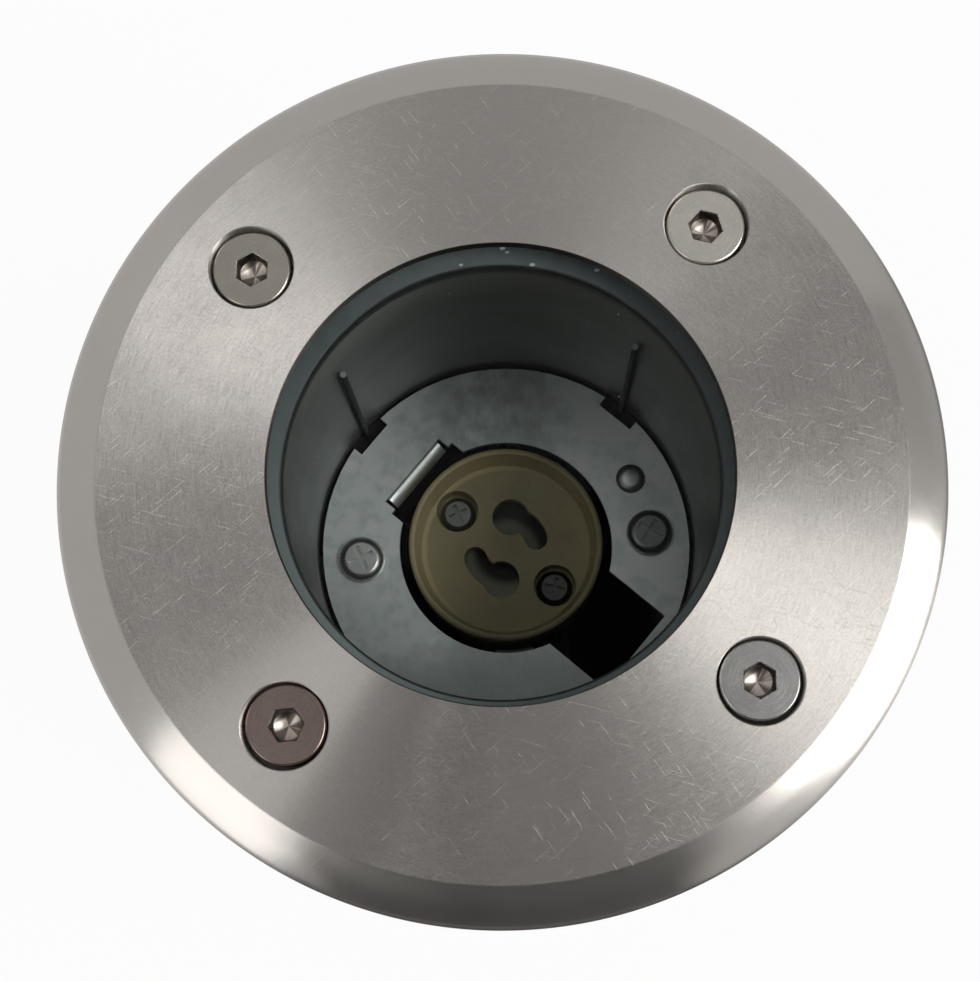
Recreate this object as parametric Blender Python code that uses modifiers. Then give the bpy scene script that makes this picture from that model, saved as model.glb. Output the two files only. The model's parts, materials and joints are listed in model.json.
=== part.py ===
"""A recessed ground spotlight for a GU10 lamp, built from separate pieces around one vertical axis."""

import math

import bmesh
import bpy
from mathutils import Matrix, Vector

# Driving dimensions, in metres
FACE_RADIUS = 0.055
RING_THICKNESS = 0.0088
WINDOW_RADIUS = 0.02875
BOLT_CIRCLE_RADIUS = 0.0404
BORE_RADIUS = 0.0293
LAMP_DEPTH = 0.0637
WIRING_DEPTH = 0.039
HOLDER_RADIUS = 0.015
SLEEVE_HEIGHT = 0.130
GAP = 0.0003
OVERRUN = 0.001

# Angles about the vertical axis, seen from above
BOLT_COUNT = 4
BOLT_START = math.radians(45.0)
SCREW_TURNS = [math.radians(turn) for turn in (41.0, 23.0, 0.5, 25.0)]
TONGUE_ANGLE = math.radians(135.0)
POCKET_ANGLE = math.radians(137.0)
CONTACT_ANGLE = math.radians(45.0)
WIRE_ANGLES = [math.radians(45.0), math.radians(135.0)]
RIVET_ANGLE = math.radians(23.4)
LUG_ANGLE = math.radians(-118.0)

# Face ring
BEVEL_WIDTH = 0.0053
BEVEL_DROP = 0.0026
BEVEL_SHARES = ((1.0, 0.0), (0.5, 0.36), (0.125, 0.76), (0.0, 1.0))
RING_FOOT_CHAMFER = 0.0006
LIP_THICKNESS = 0.0015
LIP_CHAMFER = 0.0002

# Window glass and its gasket
GLASS_OVERLAP = 0.00525
GLASS_THICKNESS = 0.004
GLASS_CHAMFER = 0.0004
GASKET_OVERHANG = 0.0017

# Face screws, M6 low head, and their washers
THREAD_RADIUS = 0.003
HEAD_RADIUS = 0.0049
HEAD_HEIGHT = 0.004
HEAD_SINK = 0.0005
HEAD_CHAMFER = 0.00025
HEAD_CLEARANCE = 0.0004
SCREW_REACH = 0.016
SCREW_POINT = 0.0008
HEX_WIDTH = 0.0038
HEX_DEPTH = 0.0022
DRILL_RADIUS_SHARE = 0.87
WASHER_THICKNESS = 0.0008

# Lamp housing
FLANGE_INSET = 0.0025
FLANGE_THICKNESS = 0.006
HOUSING_WALL = 0.004
FLOOR_THICKNESS = 0.004
POT_CHAMFER = 0.003
COLLAR_STEP = 0.0009
COLLAR_HEIGHT = 0.011
BOSS_WALL = 0.0042
BOSS_FLOOR = 0.003
BOSS_WEB_THICKNESS = 0.006
TIP_CLEARANCE = 0.001
POST_OFFSET = 0.0225
POST_RADIUS = 0.004
POST_WEB_THICKNESS = 0.003
WIRE_PAD_WIDTH = 0.006
WIRE_PAD_HEIGHT = 0.006
WIRE_PAD_MARGIN = 0.003

# Bracket plate and its tongue
PLATE_CLEARANCE = 0.0007
PLATE_THICKNESS = 0.0012
PLATE_HOLE_CLEARANCE = 0.0016
SLOT_WIDTH = 0.0147
SLOT_REACH = 0.0259
TONGUE_WIDTH = 0.0118
TONGUE_STEP = 0.00005
TONGUE_RELIEF = 0.0006
TONGUE_CLEARANCE = 0.0022
TONGUE_MARGIN = 0.0036
BEND_RADIUS = 0.0020
NOTCH_WIDTH = 0.0063
NOTCH_DEPTH = 0.0017

# Screws of the bracket, with the shares of a pan head's radius and height that shape it
PAN_HEAD_SHARES = ((0.0, 0.0), (0.66, 0.06), (0.86, 0.25), (0.96, 0.55), (1.0, 1.0))
CROSS_LENGTH_SHARE = 1.10
CROSS_WIDTH_SHARE = 0.26
CROSS_DEPTH_SHARE = 0.55
BRACKET_THREAD_RADIUS = 0.00175
BRACKET_HEAD_RADIUS = 0.0036
BRACKET_HEAD_HEIGHT = 0.0020
BRACKET_SCREW_REACH = 0.009
BRACKET_SCREW_TURNS = [math.radians(turn) for turn in (20.0, 52.0)]

# Earth rivet through the plate and the lug under it
RIVET_OFFSET = 0.0223
RIVET_RADIUS = 0.0015
RIVET_HEAD_RADIUS = 0.0023
RIVET_HEAD_HEIGHT = 0.0008
RIVET_TAIL_HEIGHT = 0.0007
LUG_THICKNESS = 0.0008
LUG_RADIUS = 0.0030
LUG_NECK_WIDTH = 0.0026
LUG_REACH = 0.0052

# Steady wires
WIRE_RADIUS = 0.00045
WIRE_HEIGHT = 0.0385
WIRE_FOOT = 0.0045
WIRE_BEND = 0.0012

# Ceramic lampholder
HOLDER_PROUD = 0.0034
HOLDER_HEIGHT = 0.0130
HOLDER_ROUNDING = 0.0005
HOLDER_RIM_WIDTH = 0.0009
HOLDER_DISH_SLOPE = 0.0009
HOLDER_DISH_DEPTH = 0.0050
HOLDER_FRONT_WALL = 0.0026
CAP_THICKNESS = 0.0040
CAP_CHAMFER = 0.0008
PIN_CIRCLE_RADIUS = 0.005
ENTRY_RADIUS = 0.0029
ENTRY_TURN = math.radians(31.0)
SLOT_TURN = math.radians(-32.0)
LOCK_SLOT_WIDTH = 0.0037
CHAMBER_START = 0.0013
CHAMBER_END = 0.0126
CHAMBER_WIDTH = 0.0110
POCKET_OFFSET = 0.00965
POCKET_RADIUS = 0.0033
POCKET_DEPTH = 0.0045
HOLDER_SCREW_RADIUS = 0.0015
HOLDER_HEAD_RADIUS = 0.0028
HOLDER_HEAD_HEIGHT = 0.0018
HOLDER_SCREW_TURN = math.radians(20.0)
NUT_WIDTH = 0.0055
NUT_THICKNESS = 0.0024
NUT_TAIL = 0.0010

# Contacts: sprung leaves close under the lampholder's slots, stepped down to their leads
CONTACT_THICKNESS = 0.0006
CONTACT_DROP = 0.0006
CONTACT_STEP = 0.0090

# Leads: their routes' middle points as shares of the wiring depth and, across, of the bore's radius,
# or of the offset of the gap between lampholder and posts for the earth lead
LEAD_RADIUS = 0.0009
LEAD_OFFSET = 0.0112
LEAD_STEPS = 3
LIVE_ROUTE_SHARES = (
    (0.27, 0.29, 0.63),
    (0.17, 0.56, 0.46),
    (0.05, 0.83, 0.37),
    (0.0, 0.885, 0.256),
    (0.0, 0.85, 0.167),
)
NEUTRAL_ROUTE_SHARES = (
    (-0.28, -0.24, 0.62),
    (-0.34, -0.03, 0.50),
    (-0.375, 0.35, 0.45),
    (-0.36, 0.70, 0.40),
    (-0.345, 0.835, 0.27),
    (-0.341, 0.82, 0.175),
)
EARTH_ROUTE_SHARES = (
    (0.976, 0.266, 0.88),
    (0.938, 0.187, 0.73),
    (0.844, 0.031, 0.54),
    (0.672, -0.109, 0.34),
    (0.555, -0.094, 0.20),
)

# Terminal block, with its clamps and screws
BLOCK_OFFSET = 0.0130
BLOCK_WIDTH = 0.0160
BLOCK_HEIGHT = 0.0125
BLOCK_MARGIN = 0.0008
POLE_PITCH = 0.0100
POLE_COUNT = 3
CLAMP_RADIUS = 0.0022
CLAMP_BORE_RADIUS = 0.00135
CLAMP_HEIGHT = 0.0055
CLAMP_INSET = 0.0006
CLAMP_SCREW_RADIUS = 0.0010
CLAMP_SCREW_OFFSET = 0.0042
CLAMP_SCREW_HEIGHT = 0.0050
CLAMP_SLOT_WIDTH = 0.0005
CLAMP_SLOT_DEPTH = 0.0008
FIXING_HEAD_RADIUS = 0.0015
FIXING_HEAD_HEIGHT = 0.0012
FIXING_THREAD_RADIUS = 0.0009
FIXING_REACH = 0.0025
FIXING_SEAT = 0.0040

# Cable gland
GLAND_OFFSET = 0.0125
GLAND_THREAD_RADIUS = 0.008
GLAND_BORE_RADIUS = 0.0055
GLAND_HEX_WIDTH = 0.019
GLAND_HEX_THICKNESS = 0.005
GLAND_STUB = 0.0055
GLAND_COLLAR_RADIUS = 0.0072
GLAND_COLLAR_LENGTH = 0.0070
LOCKNUT_WIDTH = 0.019
LOCKNUT_THICKNESS = 0.0035
ORING_TUBE_RADIUS = 0.0007
INSERT_BORE_RADIUS = 0.0040
INSERT_FLANGE_THICKNESS = 0.0012
NUT_LENGTH = 0.0115
NUT_SKIRT_LENGTH = 0.0060
NUT_WALL = 0.0018
NUT_MOUTH_RADIUS = 0.0047
DOME_SHARES = ((1.0, 0.40), (0.86, 0.88), (0.74, 1.0))

# Ground sleeve
SLEEVE_WALL = 0.0025
SLEEVE_CLEARANCE = 0.0008
SLEEVE_RIM_THICKNESS = 0.003
CABLE_SLOT_WIDTH = 0.024
CABLE_SLOT_HEIGHT = 0.030
RIB_COUNT = 8
RIB_WIDTH = 0.0025
RIB_DEPTH = 0.0011

# Facets
ROUND_STEPS = 72
MEDIUM_STEPS = 40
SMALL_STEPS = 24
TINY_STEPS = 16
ARC_STEPS = 6
HEX_STEPS = 6
SHARP_ANGLE = math.radians(35.0)
MERGE_DISTANCE = 0.000001

TONGUE_THICKNESS = PLATE_THICKNESS - 2 * TONGUE_STEP

# Levels, upwards from the ground
FLANGE_BOTTOM = SLEEVE_HEIGHT + GAP
FLANGE_TOP = FLANGE_BOTTOM + FLANGE_THICKNESS
RING_BOTTOM = FLANGE_TOP + GAP
FACE_LEVEL = RING_BOTTOM + RING_THICKNESS
GLASS_TOP = FACE_LEVEL - LIP_THICKNESS - GAP
GLASS_BOTTOM = GLASS_TOP - GLASS_THICKNESS
GASKET_TOP = GLASS_BOTTOM - GAP
GASKET_BOTTOM = FLANGE_TOP + GAP
HEAD_TOP = FACE_LEVEL - HEAD_SINK
HEAD_BOTTOM = HEAD_TOP - HEAD_HEIGHT
WASHER_BOTTOM = HEAD_BOTTOM - GAP - WASHER_THICKNESS
COUNTERBORE_FLOOR = WASHER_BOTTOM - GAP
SCREW_TIP = HEAD_BOTTOM - SCREW_REACH
PLATE_TOP = FACE_LEVEL - LAMP_DEPTH
PLATE_BOTTOM = PLATE_TOP - PLATE_THICKNESS
POST_TOP = PLATE_BOTTOM - GAP
FLOOR_TOP = PLATE_BOTTOM - WIRING_DEPTH
FLOOR_MIDDLE = FLOOR_TOP - FLOOR_THICKNESS / 2
FLOOR_BOTTOM = FLOOR_TOP - FLOOR_THICKNESS
HOLDER_TOP = PLATE_TOP + HOLDER_PROUD
HOLDER_FACE = HOLDER_TOP - HOLDER_DISH_DEPTH
HOLDER_WALL_BOTTOM = HOLDER_FACE - HOLDER_FRONT_WALL
HOLDER_BOTTOM = HOLDER_TOP - HOLDER_HEIGHT
CAP_TOP = HOLDER_BOTTOM - GAP
CAP_BOTTOM = CAP_TOP - CAP_THICKNESS
TONGUE_TOP = CAP_BOTTOM - GAP
TONGUE_BOTTOM = TONGUE_TOP - TONGUE_THICKNESS
LUG_TOP = PLATE_BOTTOM - GAP
LUG_BOTTOM = LUG_TOP - LUG_THICKNESS
BLOCK_BOTTOM = FLOOR_TOP + GAP
BLOCK_TOP = BLOCK_BOTTOM + BLOCK_HEIGHT
CLAMP_LEVEL = BLOCK_BOTTOM + CLAMP_HEIGHT
GLAND_HEX_TOP = FLOOR_BOTTOM - 2 * GAP - 2 * ORING_TUBE_RADIUS
GLAND_HEX_BOTTOM = GLAND_HEX_TOP - GLAND_HEX_THICKNESS
GLAND_COLLAR_END = GLAND_HEX_BOTTOM - GLAND_COLLAR_LENGTH
INSERT_FLANGE_TOP = GLAND_COLLAR_END - GAP
INSERT_FLANGE_BOTTOM = INSERT_FLANGE_TOP - INSERT_FLANGE_THICKNESS

# Radii and offsets that several pieces share
GLASS_RADIUS = WINDOW_RADIUS + GLASS_OVERLAP
RECESS_RADIUS = GLASS_RADIUS + GAP
GASKET_BORE = BORE_RADIUS - GASKET_OVERHANG
POT_RADIUS = BORE_RADIUS + HOUSING_WALL
WALL_MIDDLE = BORE_RADIUS + HOUSING_WALL / 2
FLANGE_RADIUS = FACE_RADIUS - FLANGE_INSET
BOSS_RADIUS = THREAD_RADIUS + BOSS_WALL
SCREW_HOLE_RADIUS = THREAD_RADIUS + GAP
SLEEVE_BORE = BOLT_CIRCLE_RADIUS + BOSS_RADIUS + SLEEVE_CLEARANCE
SLEEVE_RADIUS = SLEEVE_BORE + SLEEVE_WALL
PLATE_RADIUS = BORE_RADIUS - PLATE_CLEARANCE
LEG_FACE = HOLDER_RADIUS + TONGUE_CLEARANCE
WIRE_OFFSET = BORE_RADIUS - GAP - WIRE_RADIUS
POST_GAP_OFFSET = (HOLDER_RADIUS + POST_OFFSET) / 2
BLOCK_LENGTH = POLE_COUNT * POLE_PITCH + 2 * BLOCK_MARGIN

PARTS = "ground_spotlight"
CUTTERS = "cutters"
FINISHES = {
    "brushed_stainless": ((0.55, 0.53, 0.51), 0.32, 1.0),
    "polished_stainless": ((0.50, 0.49, 0.47), 0.16, 1.0),
    "clear_glass": ((0.85, 0.90, 0.90), 0.03, 0.0),
    "grey_silicone": ((0.22, 0.26, 0.28), 0.55, 0.0),
    "white_nylon": ((0.75, 0.74, 0.70), 0.50, 0.0),
    "dark_casting": ((0.06, 0.06, 0.06), 0.40, 0.6),
    "zinc_plate": ((0.46, 0.48, 0.48), 0.38, 0.9),
    "dark_steel": ((0.07, 0.07, 0.07), 0.35, 0.9),
    "khaki_ceramic": ((0.26, 0.22, 0.15), 0.45, 0.0),
    "nickel_strip": ((0.50, 0.49, 0.45), 0.35, 1.0),
    "brown_sheath": ((0.20, 0.09, 0.04), 0.50, 0.0),
    "blue_sheath": ((0.05, 0.13, 0.35), 0.50, 0.0),
    "green_sheath": ((0.10, 0.32, 0.08), 0.50, 0.0),
    "brass": ((0.62, 0.46, 0.20), 0.30, 1.0),
    "black_rubber": ((0.03, 0.03, 0.03), 0.60, 0.0),
    "black_nylon": ((0.05, 0.05, 0.05), 0.45, 0.0),
    "black_plastic": ((0.04, 0.04, 0.04), 0.50, 0.0),
}


def clear_scene():
    for item in list(bpy.data.objects):
        bpy.data.objects.remove(item, do_unlink=True)


def collection(name):
    """Return the named collection, made and linked on first use."""
    found = bpy.data.collections.get(name)
    if found is None:
        found = bpy.data.collections.new(name)
        bpy.context.scene.collection.children.link(found)
    return found


def finish(name):
    """Return the named material, made on first use from its row in FINISHES."""
    found = bpy.data.materials.get(name)
    if found is None:
        colour, roughness, metallic = FINISHES[name]
        found = bpy.data.materials.new(name)
        found.use_nodes = True
        shader = found.node_tree.nodes["Principled BSDF"]
        shader.inputs["Base Color"].default_value = (*colour, 1.0)
        shader.inputs["Roughness"].default_value = roughness
        shader.inputs["Metallic"].default_value = metallic
    return found


def place(name, data, finish_name):
    """Link new geometry as a sub-part, or as a cutter where it has no finish."""
    item = bpy.data.objects.new(name, data)
    if finish_name is None:
        collection(CUTTERS).objects.link(item)
        item.hide_render = True
        item.display_type = "WIRE"
    else:
        collection(PARTS).objects.link(item)
        data.materials.append(finish(finish_name))
    return item


def polar(radius, angle, height=0.0):
    return Vector((radius * math.cos(angle), radius * math.sin(angle), height))


def arc(centre_x, centre_y, radius, start, end, steps=ARC_STEPS):
    """Return points along an arc between two angles in radians, both ends included."""
    turns = [start + (end - start) * step / steps for step in range(steps + 1)]
    return [(centre_x + radius * math.cos(turn), centre_y + radius * math.sin(turn)) for turn in turns]


def turned(name, outline, finish_name=None, steps=ROUND_STEPS, closed=True):
    """Turn an outline of (radius, height) points about the vertical axis."""
    mesh = bpy.data.meshes.new(name)
    edges = [(point, point + 1) for point in range(len(outline) - 1)]
    if closed:
        edges.append((len(outline) - 1, 0))
    mesh.from_pydata([(radius, 0.0, height) for radius, height in outline], edges, [])
    item = place(name, mesh, finish_name)
    screw = item.modifiers.new("turn", "SCREW")
    screw.steps = steps
    screw.render_steps = steps
    screw.use_merge_vertices = True
    screw.merge_threshold = MERGE_DISTANCE
    return item


def prism(name, radius, bottom, top, finish_name=None, steps=SMALL_STEPS):
    """Stand a cylinder or a regular prism on the vertical axis, between two levels."""
    mesh = bpy.data.meshes.new(name)
    shape = bmesh.new()
    bmesh.ops.create_cone(
        shape, cap_ends=True, segments=steps, radius1=radius, radius2=radius, depth=top - bottom
    )
    shape.to_mesh(mesh)
    shape.free()
    item = place(name, mesh, finish_name)
    item.location.z = (bottom + top) / 2
    return item


def ring(name, inner, outer, bottom, top, finish_name, steps):
    return turned(name, [(outer, top), (outer, bottom), (inner, bottom), (inner, top)], finish_name, steps)


def block(name, low, high, finish_name=None):
    """Make a box between two corners, with its origin at its middle."""
    mesh = bpy.data.meshes.new(name)
    shape = bmesh.new()
    size = Vector(high) - Vector(low)
    bmesh.ops.create_cube(shape, size=1.0, matrix=Matrix.Diagonal((*size, 1.0)))
    shape.to_mesh(mesh)
    shape.free()
    item = place(name, mesh, finish_name)
    item.location = (Vector(high) + Vector(low)) / 2
    return item


def swung(item, angle):
    """Swing a piece about the object's vertical axis."""
    item.matrix_basis = Matrix.Rotation(angle, 4, "Z") @ item.matrix_basis
    return item


def shifted(item, offset):
    item.location = item.location + Vector(offset)
    return item


def laid_along_y(item, location):
    """Lay a piece that stands on the vertical axis down along Y."""
    item.rotation_euler.x = math.radians(90.0)
    item.location = location
    return item


def solid_from_curve(curve_item, name, finish_name):
    """Replace a curve object by a closed mesh object in the same place."""
    bpy.context.view_layer.update()
    seen = curve_item.evaluated_get(bpy.context.evaluated_depsgraph_get())
    mesh = bpy.data.meshes.new_from_object(seen)
    shape = bmesh.new()
    shape.from_mesh(mesh)
    bmesh.ops.remove_doubles(shape, verts=shape.verts, dist=MERGE_DISTANCE)
    bmesh.ops.recalc_face_normals(shape, faces=shape.faces)
    shape.to_mesh(mesh)
    shape.free()
    mesh.name = name
    mesh.materials.clear()
    matrix = curve_item.matrix_world.copy()
    bpy.data.objects.remove(curve_item)
    item = place(name, mesh, finish_name)
    item.matrix_world = matrix
    return item


def plate_from_outline(name, outline, thickness, finish_name=None, upright_angle=None):
    """Give a flat outline a thickness, lying flat or standing along an angle."""
    curve = bpy.data.curves.new(name + "_outline", "CURVE")
    curve.dimensions = "2D"
    curve.fill_mode = "BOTH"
    curve.extrude = thickness / 2
    spline = curve.splines.new("POLY")
    spline.points.add(len(outline) - 1)
    for point, (x, y) in zip(spline.points, outline):
        point.co = (x, y, 0.0, 1.0)
    spline.use_cyclic_u = True
    item = bpy.data.objects.new(name + "_outline", curve)
    collection(CUTTERS).objects.link(item)
    if upright_angle is not None:
        item.rotation_euler = (math.radians(90.0), 0.0, upright_angle)
    return solid_from_curve(item, name, finish_name)


def smooth_route(points, steps):
    """Return points along a smooth curve through a route's own points."""
    route = [Vector(point) for point in points]
    path = [route[0]]
    for number in range(len(route) - 1):
        before = route[max(number - 1, 0)]
        start = route[number]
        end = route[number + 1]
        after = route[min(number + 2, len(route) - 1)]
        slope_in = (end - before) / 2
        slope_out = (after - start) / 2
        for step in range(1, steps + 1):
            t = step / steps
            rise = t * t * (3 - 2 * t)
            lead_in = t * (1 - t) * (1 - t)
            lead_out = t * t * (t - 1)
            path.append(start.lerp(end, rise) + slope_in * lead_in + slope_out * lead_out)
    return path


def tube(name, points, radius, finish_name):
    """Run a round wire along points, with filled ends."""
    curve = bpy.data.curves.new(name, "CURVE")
    curve.dimensions = "3D"
    curve.bevel_depth = radius
    curve.bevel_resolution = 2
    curve.use_fill_caps = True
    spline = curve.splines.new("POLY")
    spline.points.add(len(points) - 1)
    for point, (x, y, z) in zip(spline.points, points):
        point.co = (x, y, z, 1.0)
    item = bpy.data.objects.new(name + "_path", curve)
    collection(CUTTERS).objects.link(item)
    return solid_from_curve(item, name, finish_name)


def combine(body, operation, tools):
    """Cut tools from a body, or join them to it, one Boolean each."""
    for tool in tools:
        boolean = body.modifiers.new(tool.name, "BOOLEAN")
        boolean.operation = operation
        boolean.solver = "EXACT"
        boolean.object = tool
    return body


def cut(body, *tools):
    return combine(body, "DIFFERENCE", tools)


def join(body, *tools):
    return combine(body, "UNION", tools)


def settle(item):
    """Apply a finished piece's modifiers and shade its round faces smooth."""
    bpy.context.view_layer.update()
    seen = item.evaluated_get(bpy.context.evaluated_depsgraph_get())
    mesh = bpy.data.meshes.new_from_object(seen)
    mesh.name = item.name
    item.modifiers.clear()
    item.data = mesh
    mesh.shade_smooth()
    mesh.set_sharp_from_angle(angle=SHARP_ANGLE)
    return item


def copy_of(item, name, location, turn=0.0):
    """Place another object with the same mesh."""
    twin = bpy.data.objects.new(name, item.data)
    collection(PARTS).objects.link(twin)
    twin.location = location
    twin.rotation_euler.z = turn
    return twin


def bolt_place(number):
    return polar(BOLT_CIRCLE_RADIUS, BOLT_START + 2 * math.pi * number / BOLT_COUNT)


def post_place(side):
    return Vector((side * POST_OFFSET, 0.0, 0.0))


def pocket_place(side):
    return polar(side * POCKET_OFFSET, POCKET_ANGLE)


def front_ring():
    """The stainless ring: bevelled rim, glass recess from below and four counterbored holes."""
    outline = [
        (FACE_RADIUS - BEVEL_WIDTH * width, FACE_LEVEL - BEVEL_DROP * drop) for width, drop in BEVEL_SHARES
    ]
    outline += [
        (FACE_RADIUS, RING_BOTTOM + RING_FOOT_CHAMFER),
        (FACE_RADIUS - RING_FOOT_CHAMFER, RING_BOTTOM),
        (RECESS_RADIUS, RING_BOTTOM),
        (RECESS_RADIUS, FACE_LEVEL - LIP_THICKNESS),
        (WINDOW_RADIUS, FACE_LEVEL - LIP_THICKNESS),
        (WINDOW_RADIUS, FACE_LEVEL - LIP_CHAMFER),
        (WINDOW_RADIUS + LIP_CHAMFER, FACE_LEVEL),
    ]
    body = turned("front_ring", outline, "brushed_stainless")
    stepped_hole = [
        (0.0, FACE_LEVEL + OVERRUN),
        (HEAD_RADIUS + HEAD_CLEARANCE, FACE_LEVEL + OVERRUN),
        (HEAD_RADIUS + HEAD_CLEARANCE, COUNTERBORE_FLOOR),
        (SCREW_HOLE_RADIUS, COUNTERBORE_FLOOR),
        (SCREW_HOLE_RADIUS, RING_BOTTOM - OVERRUN),
        (0.0, RING_BOTTOM - OVERRUN),
    ]
    for number in range(BOLT_COUNT):
        hole = turned(f"counterbore_{number + 1}", stepped_hole, steps=MEDIUM_STEPS, closed=False)
        cut(body, shifted(hole, bolt_place(number)))
    settle(body)


def window_glass():
    outline = [
        (0.0, GLASS_TOP),
        (GLASS_RADIUS - GLASS_CHAMFER, GLASS_TOP),
        (GLASS_RADIUS, GLASS_TOP - GLASS_CHAMFER),
        (GLASS_RADIUS, GLASS_BOTTOM + GLASS_CHAMFER),
        (GLASS_RADIUS - GLASS_CHAMFER, GLASS_BOTTOM),
        (0.0, GLASS_BOTTOM),
    ]
    settle(turned("window_glass", outline, "clear_glass", closed=False))


def glass_gasket():
    gasket = ring(
        "glass_gasket", GASKET_BORE, GLASS_RADIUS, GASKET_BOTTOM, GASKET_TOP, "grey_silicone", ROUND_STEPS
    )
    settle(gasket)


def face_screws():
    """Four low-head screws with hex sockets; each socket stands at its own turn."""
    outline = [
        (0.0, HEAD_TOP),
        (HEAD_RADIUS - HEAD_CHAMFER, HEAD_TOP),
        (HEAD_RADIUS, HEAD_TOP - HEAD_CHAMFER),
        (HEAD_RADIUS, HEAD_BOTTOM),
        (THREAD_RADIUS, HEAD_BOTTOM),
        (THREAD_RADIUS, SCREW_TIP + SCREW_POINT),
        (THREAD_RADIUS - SCREW_POINT, SCREW_TIP),
        (0.0, SCREW_TIP),
    ]
    first = turned("face_screw_1", outline, "polished_stainless", steps=MEDIUM_STEPS, closed=False)
    socket_floor = HEAD_TOP - HEX_DEPTH
    hex_corner = HEX_WIDTH / math.sqrt(3.0)
    drill_radius = HEX_WIDTH / 2 * DRILL_RADIUS_SHARE
    drill_fall = drill_radius / math.sqrt(3.0)
    socket = prism("hex_socket", hex_corner, socket_floor, HEAD_TOP + OVERRUN, steps=HEX_STEPS)
    socket.rotation_euler.z = math.radians(90.0)
    drill_outline = [
        (0.0, socket_floor + drill_fall),
        (drill_radius, socket_floor + drill_fall),
        (drill_radius, socket_floor),
        (0.0, socket_floor - drill_fall),
    ]
    drill_point = turned("drill_point", drill_outline, steps=TINY_STEPS, closed=False)
    cut(first, socket, drill_point)
    settle(first)
    first.location = bolt_place(0)
    first.rotation_euler.z = SCREW_TURNS[0]
    for number in range(1, BOLT_COUNT):
        copy_of(first, f"face_screw_{number + 1}", bolt_place(number), SCREW_TURNS[number])


def face_screw_washers():
    washer_top = WASHER_BOTTOM + WASHER_THICKNESS
    first = ring(
        "face_screw_washer_1",
        SCREW_HOLE_RADIUS,
        HEAD_RADIUS,
        WASHER_BOTTOM,
        washer_top,
        "white_nylon",
        MEDIUM_STEPS,
    )
    settle(first)
    first.location = bolt_place(0)
    for number in range(1, BOLT_COUNT):
        copy_of(first, f"face_screw_washer_{number + 1}", bolt_place(number))


def housing():
    """The cast pot with its flange, screw bosses, bracket posts and wire pads."""
    collar_bottom = FLANGE_TOP - COLLAR_HEIGHT
    outline = [
        (0.0, FLOOR_TOP),
        (BORE_RADIUS, FLOOR_TOP),
        (BORE_RADIUS, collar_bottom - COLLAR_STEP),
        (BORE_RADIUS - COLLAR_STEP, collar_bottom),
        (BORE_RADIUS - COLLAR_STEP, FLANGE_TOP),
        (FLANGE_RADIUS, FLANGE_TOP),
        (FLANGE_RADIUS, FLANGE_BOTTOM),
        (POT_RADIUS, FLANGE_BOTTOM),
        (POT_RADIUS, FLOOR_BOTTOM + POT_CHAMFER),
        (POT_RADIUS - POT_CHAMFER, FLOOR_BOTTOM),
        (0.0, FLOOR_BOTTOM),
    ]
    body = turned("housing", outline, "dark_casting", closed=False)
    add_screw_bosses(body)
    add_bracket_posts(body)
    add_wire_pads(body)
    cut_floor_holes(body)
    settle(body)


def add_screw_bosses(body):
    """Four bosses under the flange, webbed to the pot, with blind holes for the face screws."""
    hole_bottom = SCREW_TIP - TIP_CLEARANCE
    boss_bottom = hole_bottom - BOSS_FLOOR
    half = BOSS_WEB_THICKNESS / 2
    flange_middle = FLANGE_BOTTOM + FLANGE_THICKNESS / 2
    for number in range(BOLT_COUNT):
        centre = bolt_place(number)
        boss = prism(f"boss_{number + 1}", BOSS_RADIUS, boss_bottom, flange_middle)
        web = block(
            f"boss_web_{number + 1}",
            (WALL_MIDDLE, -half, boss_bottom),
            (BOLT_CIRCLE_RADIUS, half, flange_middle),
        )
        hole = prism(f"boss_hole_{number + 1}", SCREW_HOLE_RADIUS, hole_bottom, FLANGE_TOP + OVERRUN)
        swung(web, BOLT_START + 2 * math.pi * number / BOLT_COUNT)
        join(body, shifted(boss, centre), web)
        cut(body, shifted(hole, centre))


def add_bracket_posts(body):
    """Two posts, webbed to the wall, carry the bracket plate."""
    half = POST_WEB_THICKNESS / 2
    hole_bottom = POST_TOP - BRACKET_SCREW_REACH - TIP_CLEARANCE
    for side in (-1, 1):
        post = prism(f"post_{side}", POST_RADIUS, FLOOR_MIDDLE, POST_TOP)
        web = block(f"post_web_{side}", (POST_OFFSET, -half, FLOOR_MIDDLE), (WALL_MIDDLE, half, POST_TOP))
        hole_radius = BRACKET_THREAD_RADIUS + GAP
        hole = prism(f"post_hole_{side}", hole_radius, hole_bottom, POST_TOP + OVERRUN, steps=TINY_STEPS)
        join(body, shifted(post, post_place(side)), swung(web, 0.0 if side > 0 else math.pi))
        cut(body, shifted(hole, post_place(side)))


def add_wire_pads(body):
    """Two pads at the wall that trap the feet of the steady wires under the plate."""
    pad_top = PLATE_BOTTOM - 2 * GAP - 2 * WIRE_RADIUS
    half = WIRE_PAD_WIDTH / 2
    inner = WIRE_OFFSET - WIRE_FOOT - WIRE_PAD_MARGIN
    for number, angle in enumerate(WIRE_ANGLES):
        pad = block(
            f"wire_pad_{number + 1}", (inner, -half, pad_top - WIRE_PAD_HEIGHT), (WALL_MIDDLE, half, pad_top)
        )
        join(body, swung(pad, angle))


def fixing_places():
    """The block's two fixing screws stand between its poles."""
    return [Vector((side * POLE_PITCH / 2, BLOCK_OFFSET, 0.0)) for side in (-1, 1)]


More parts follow.
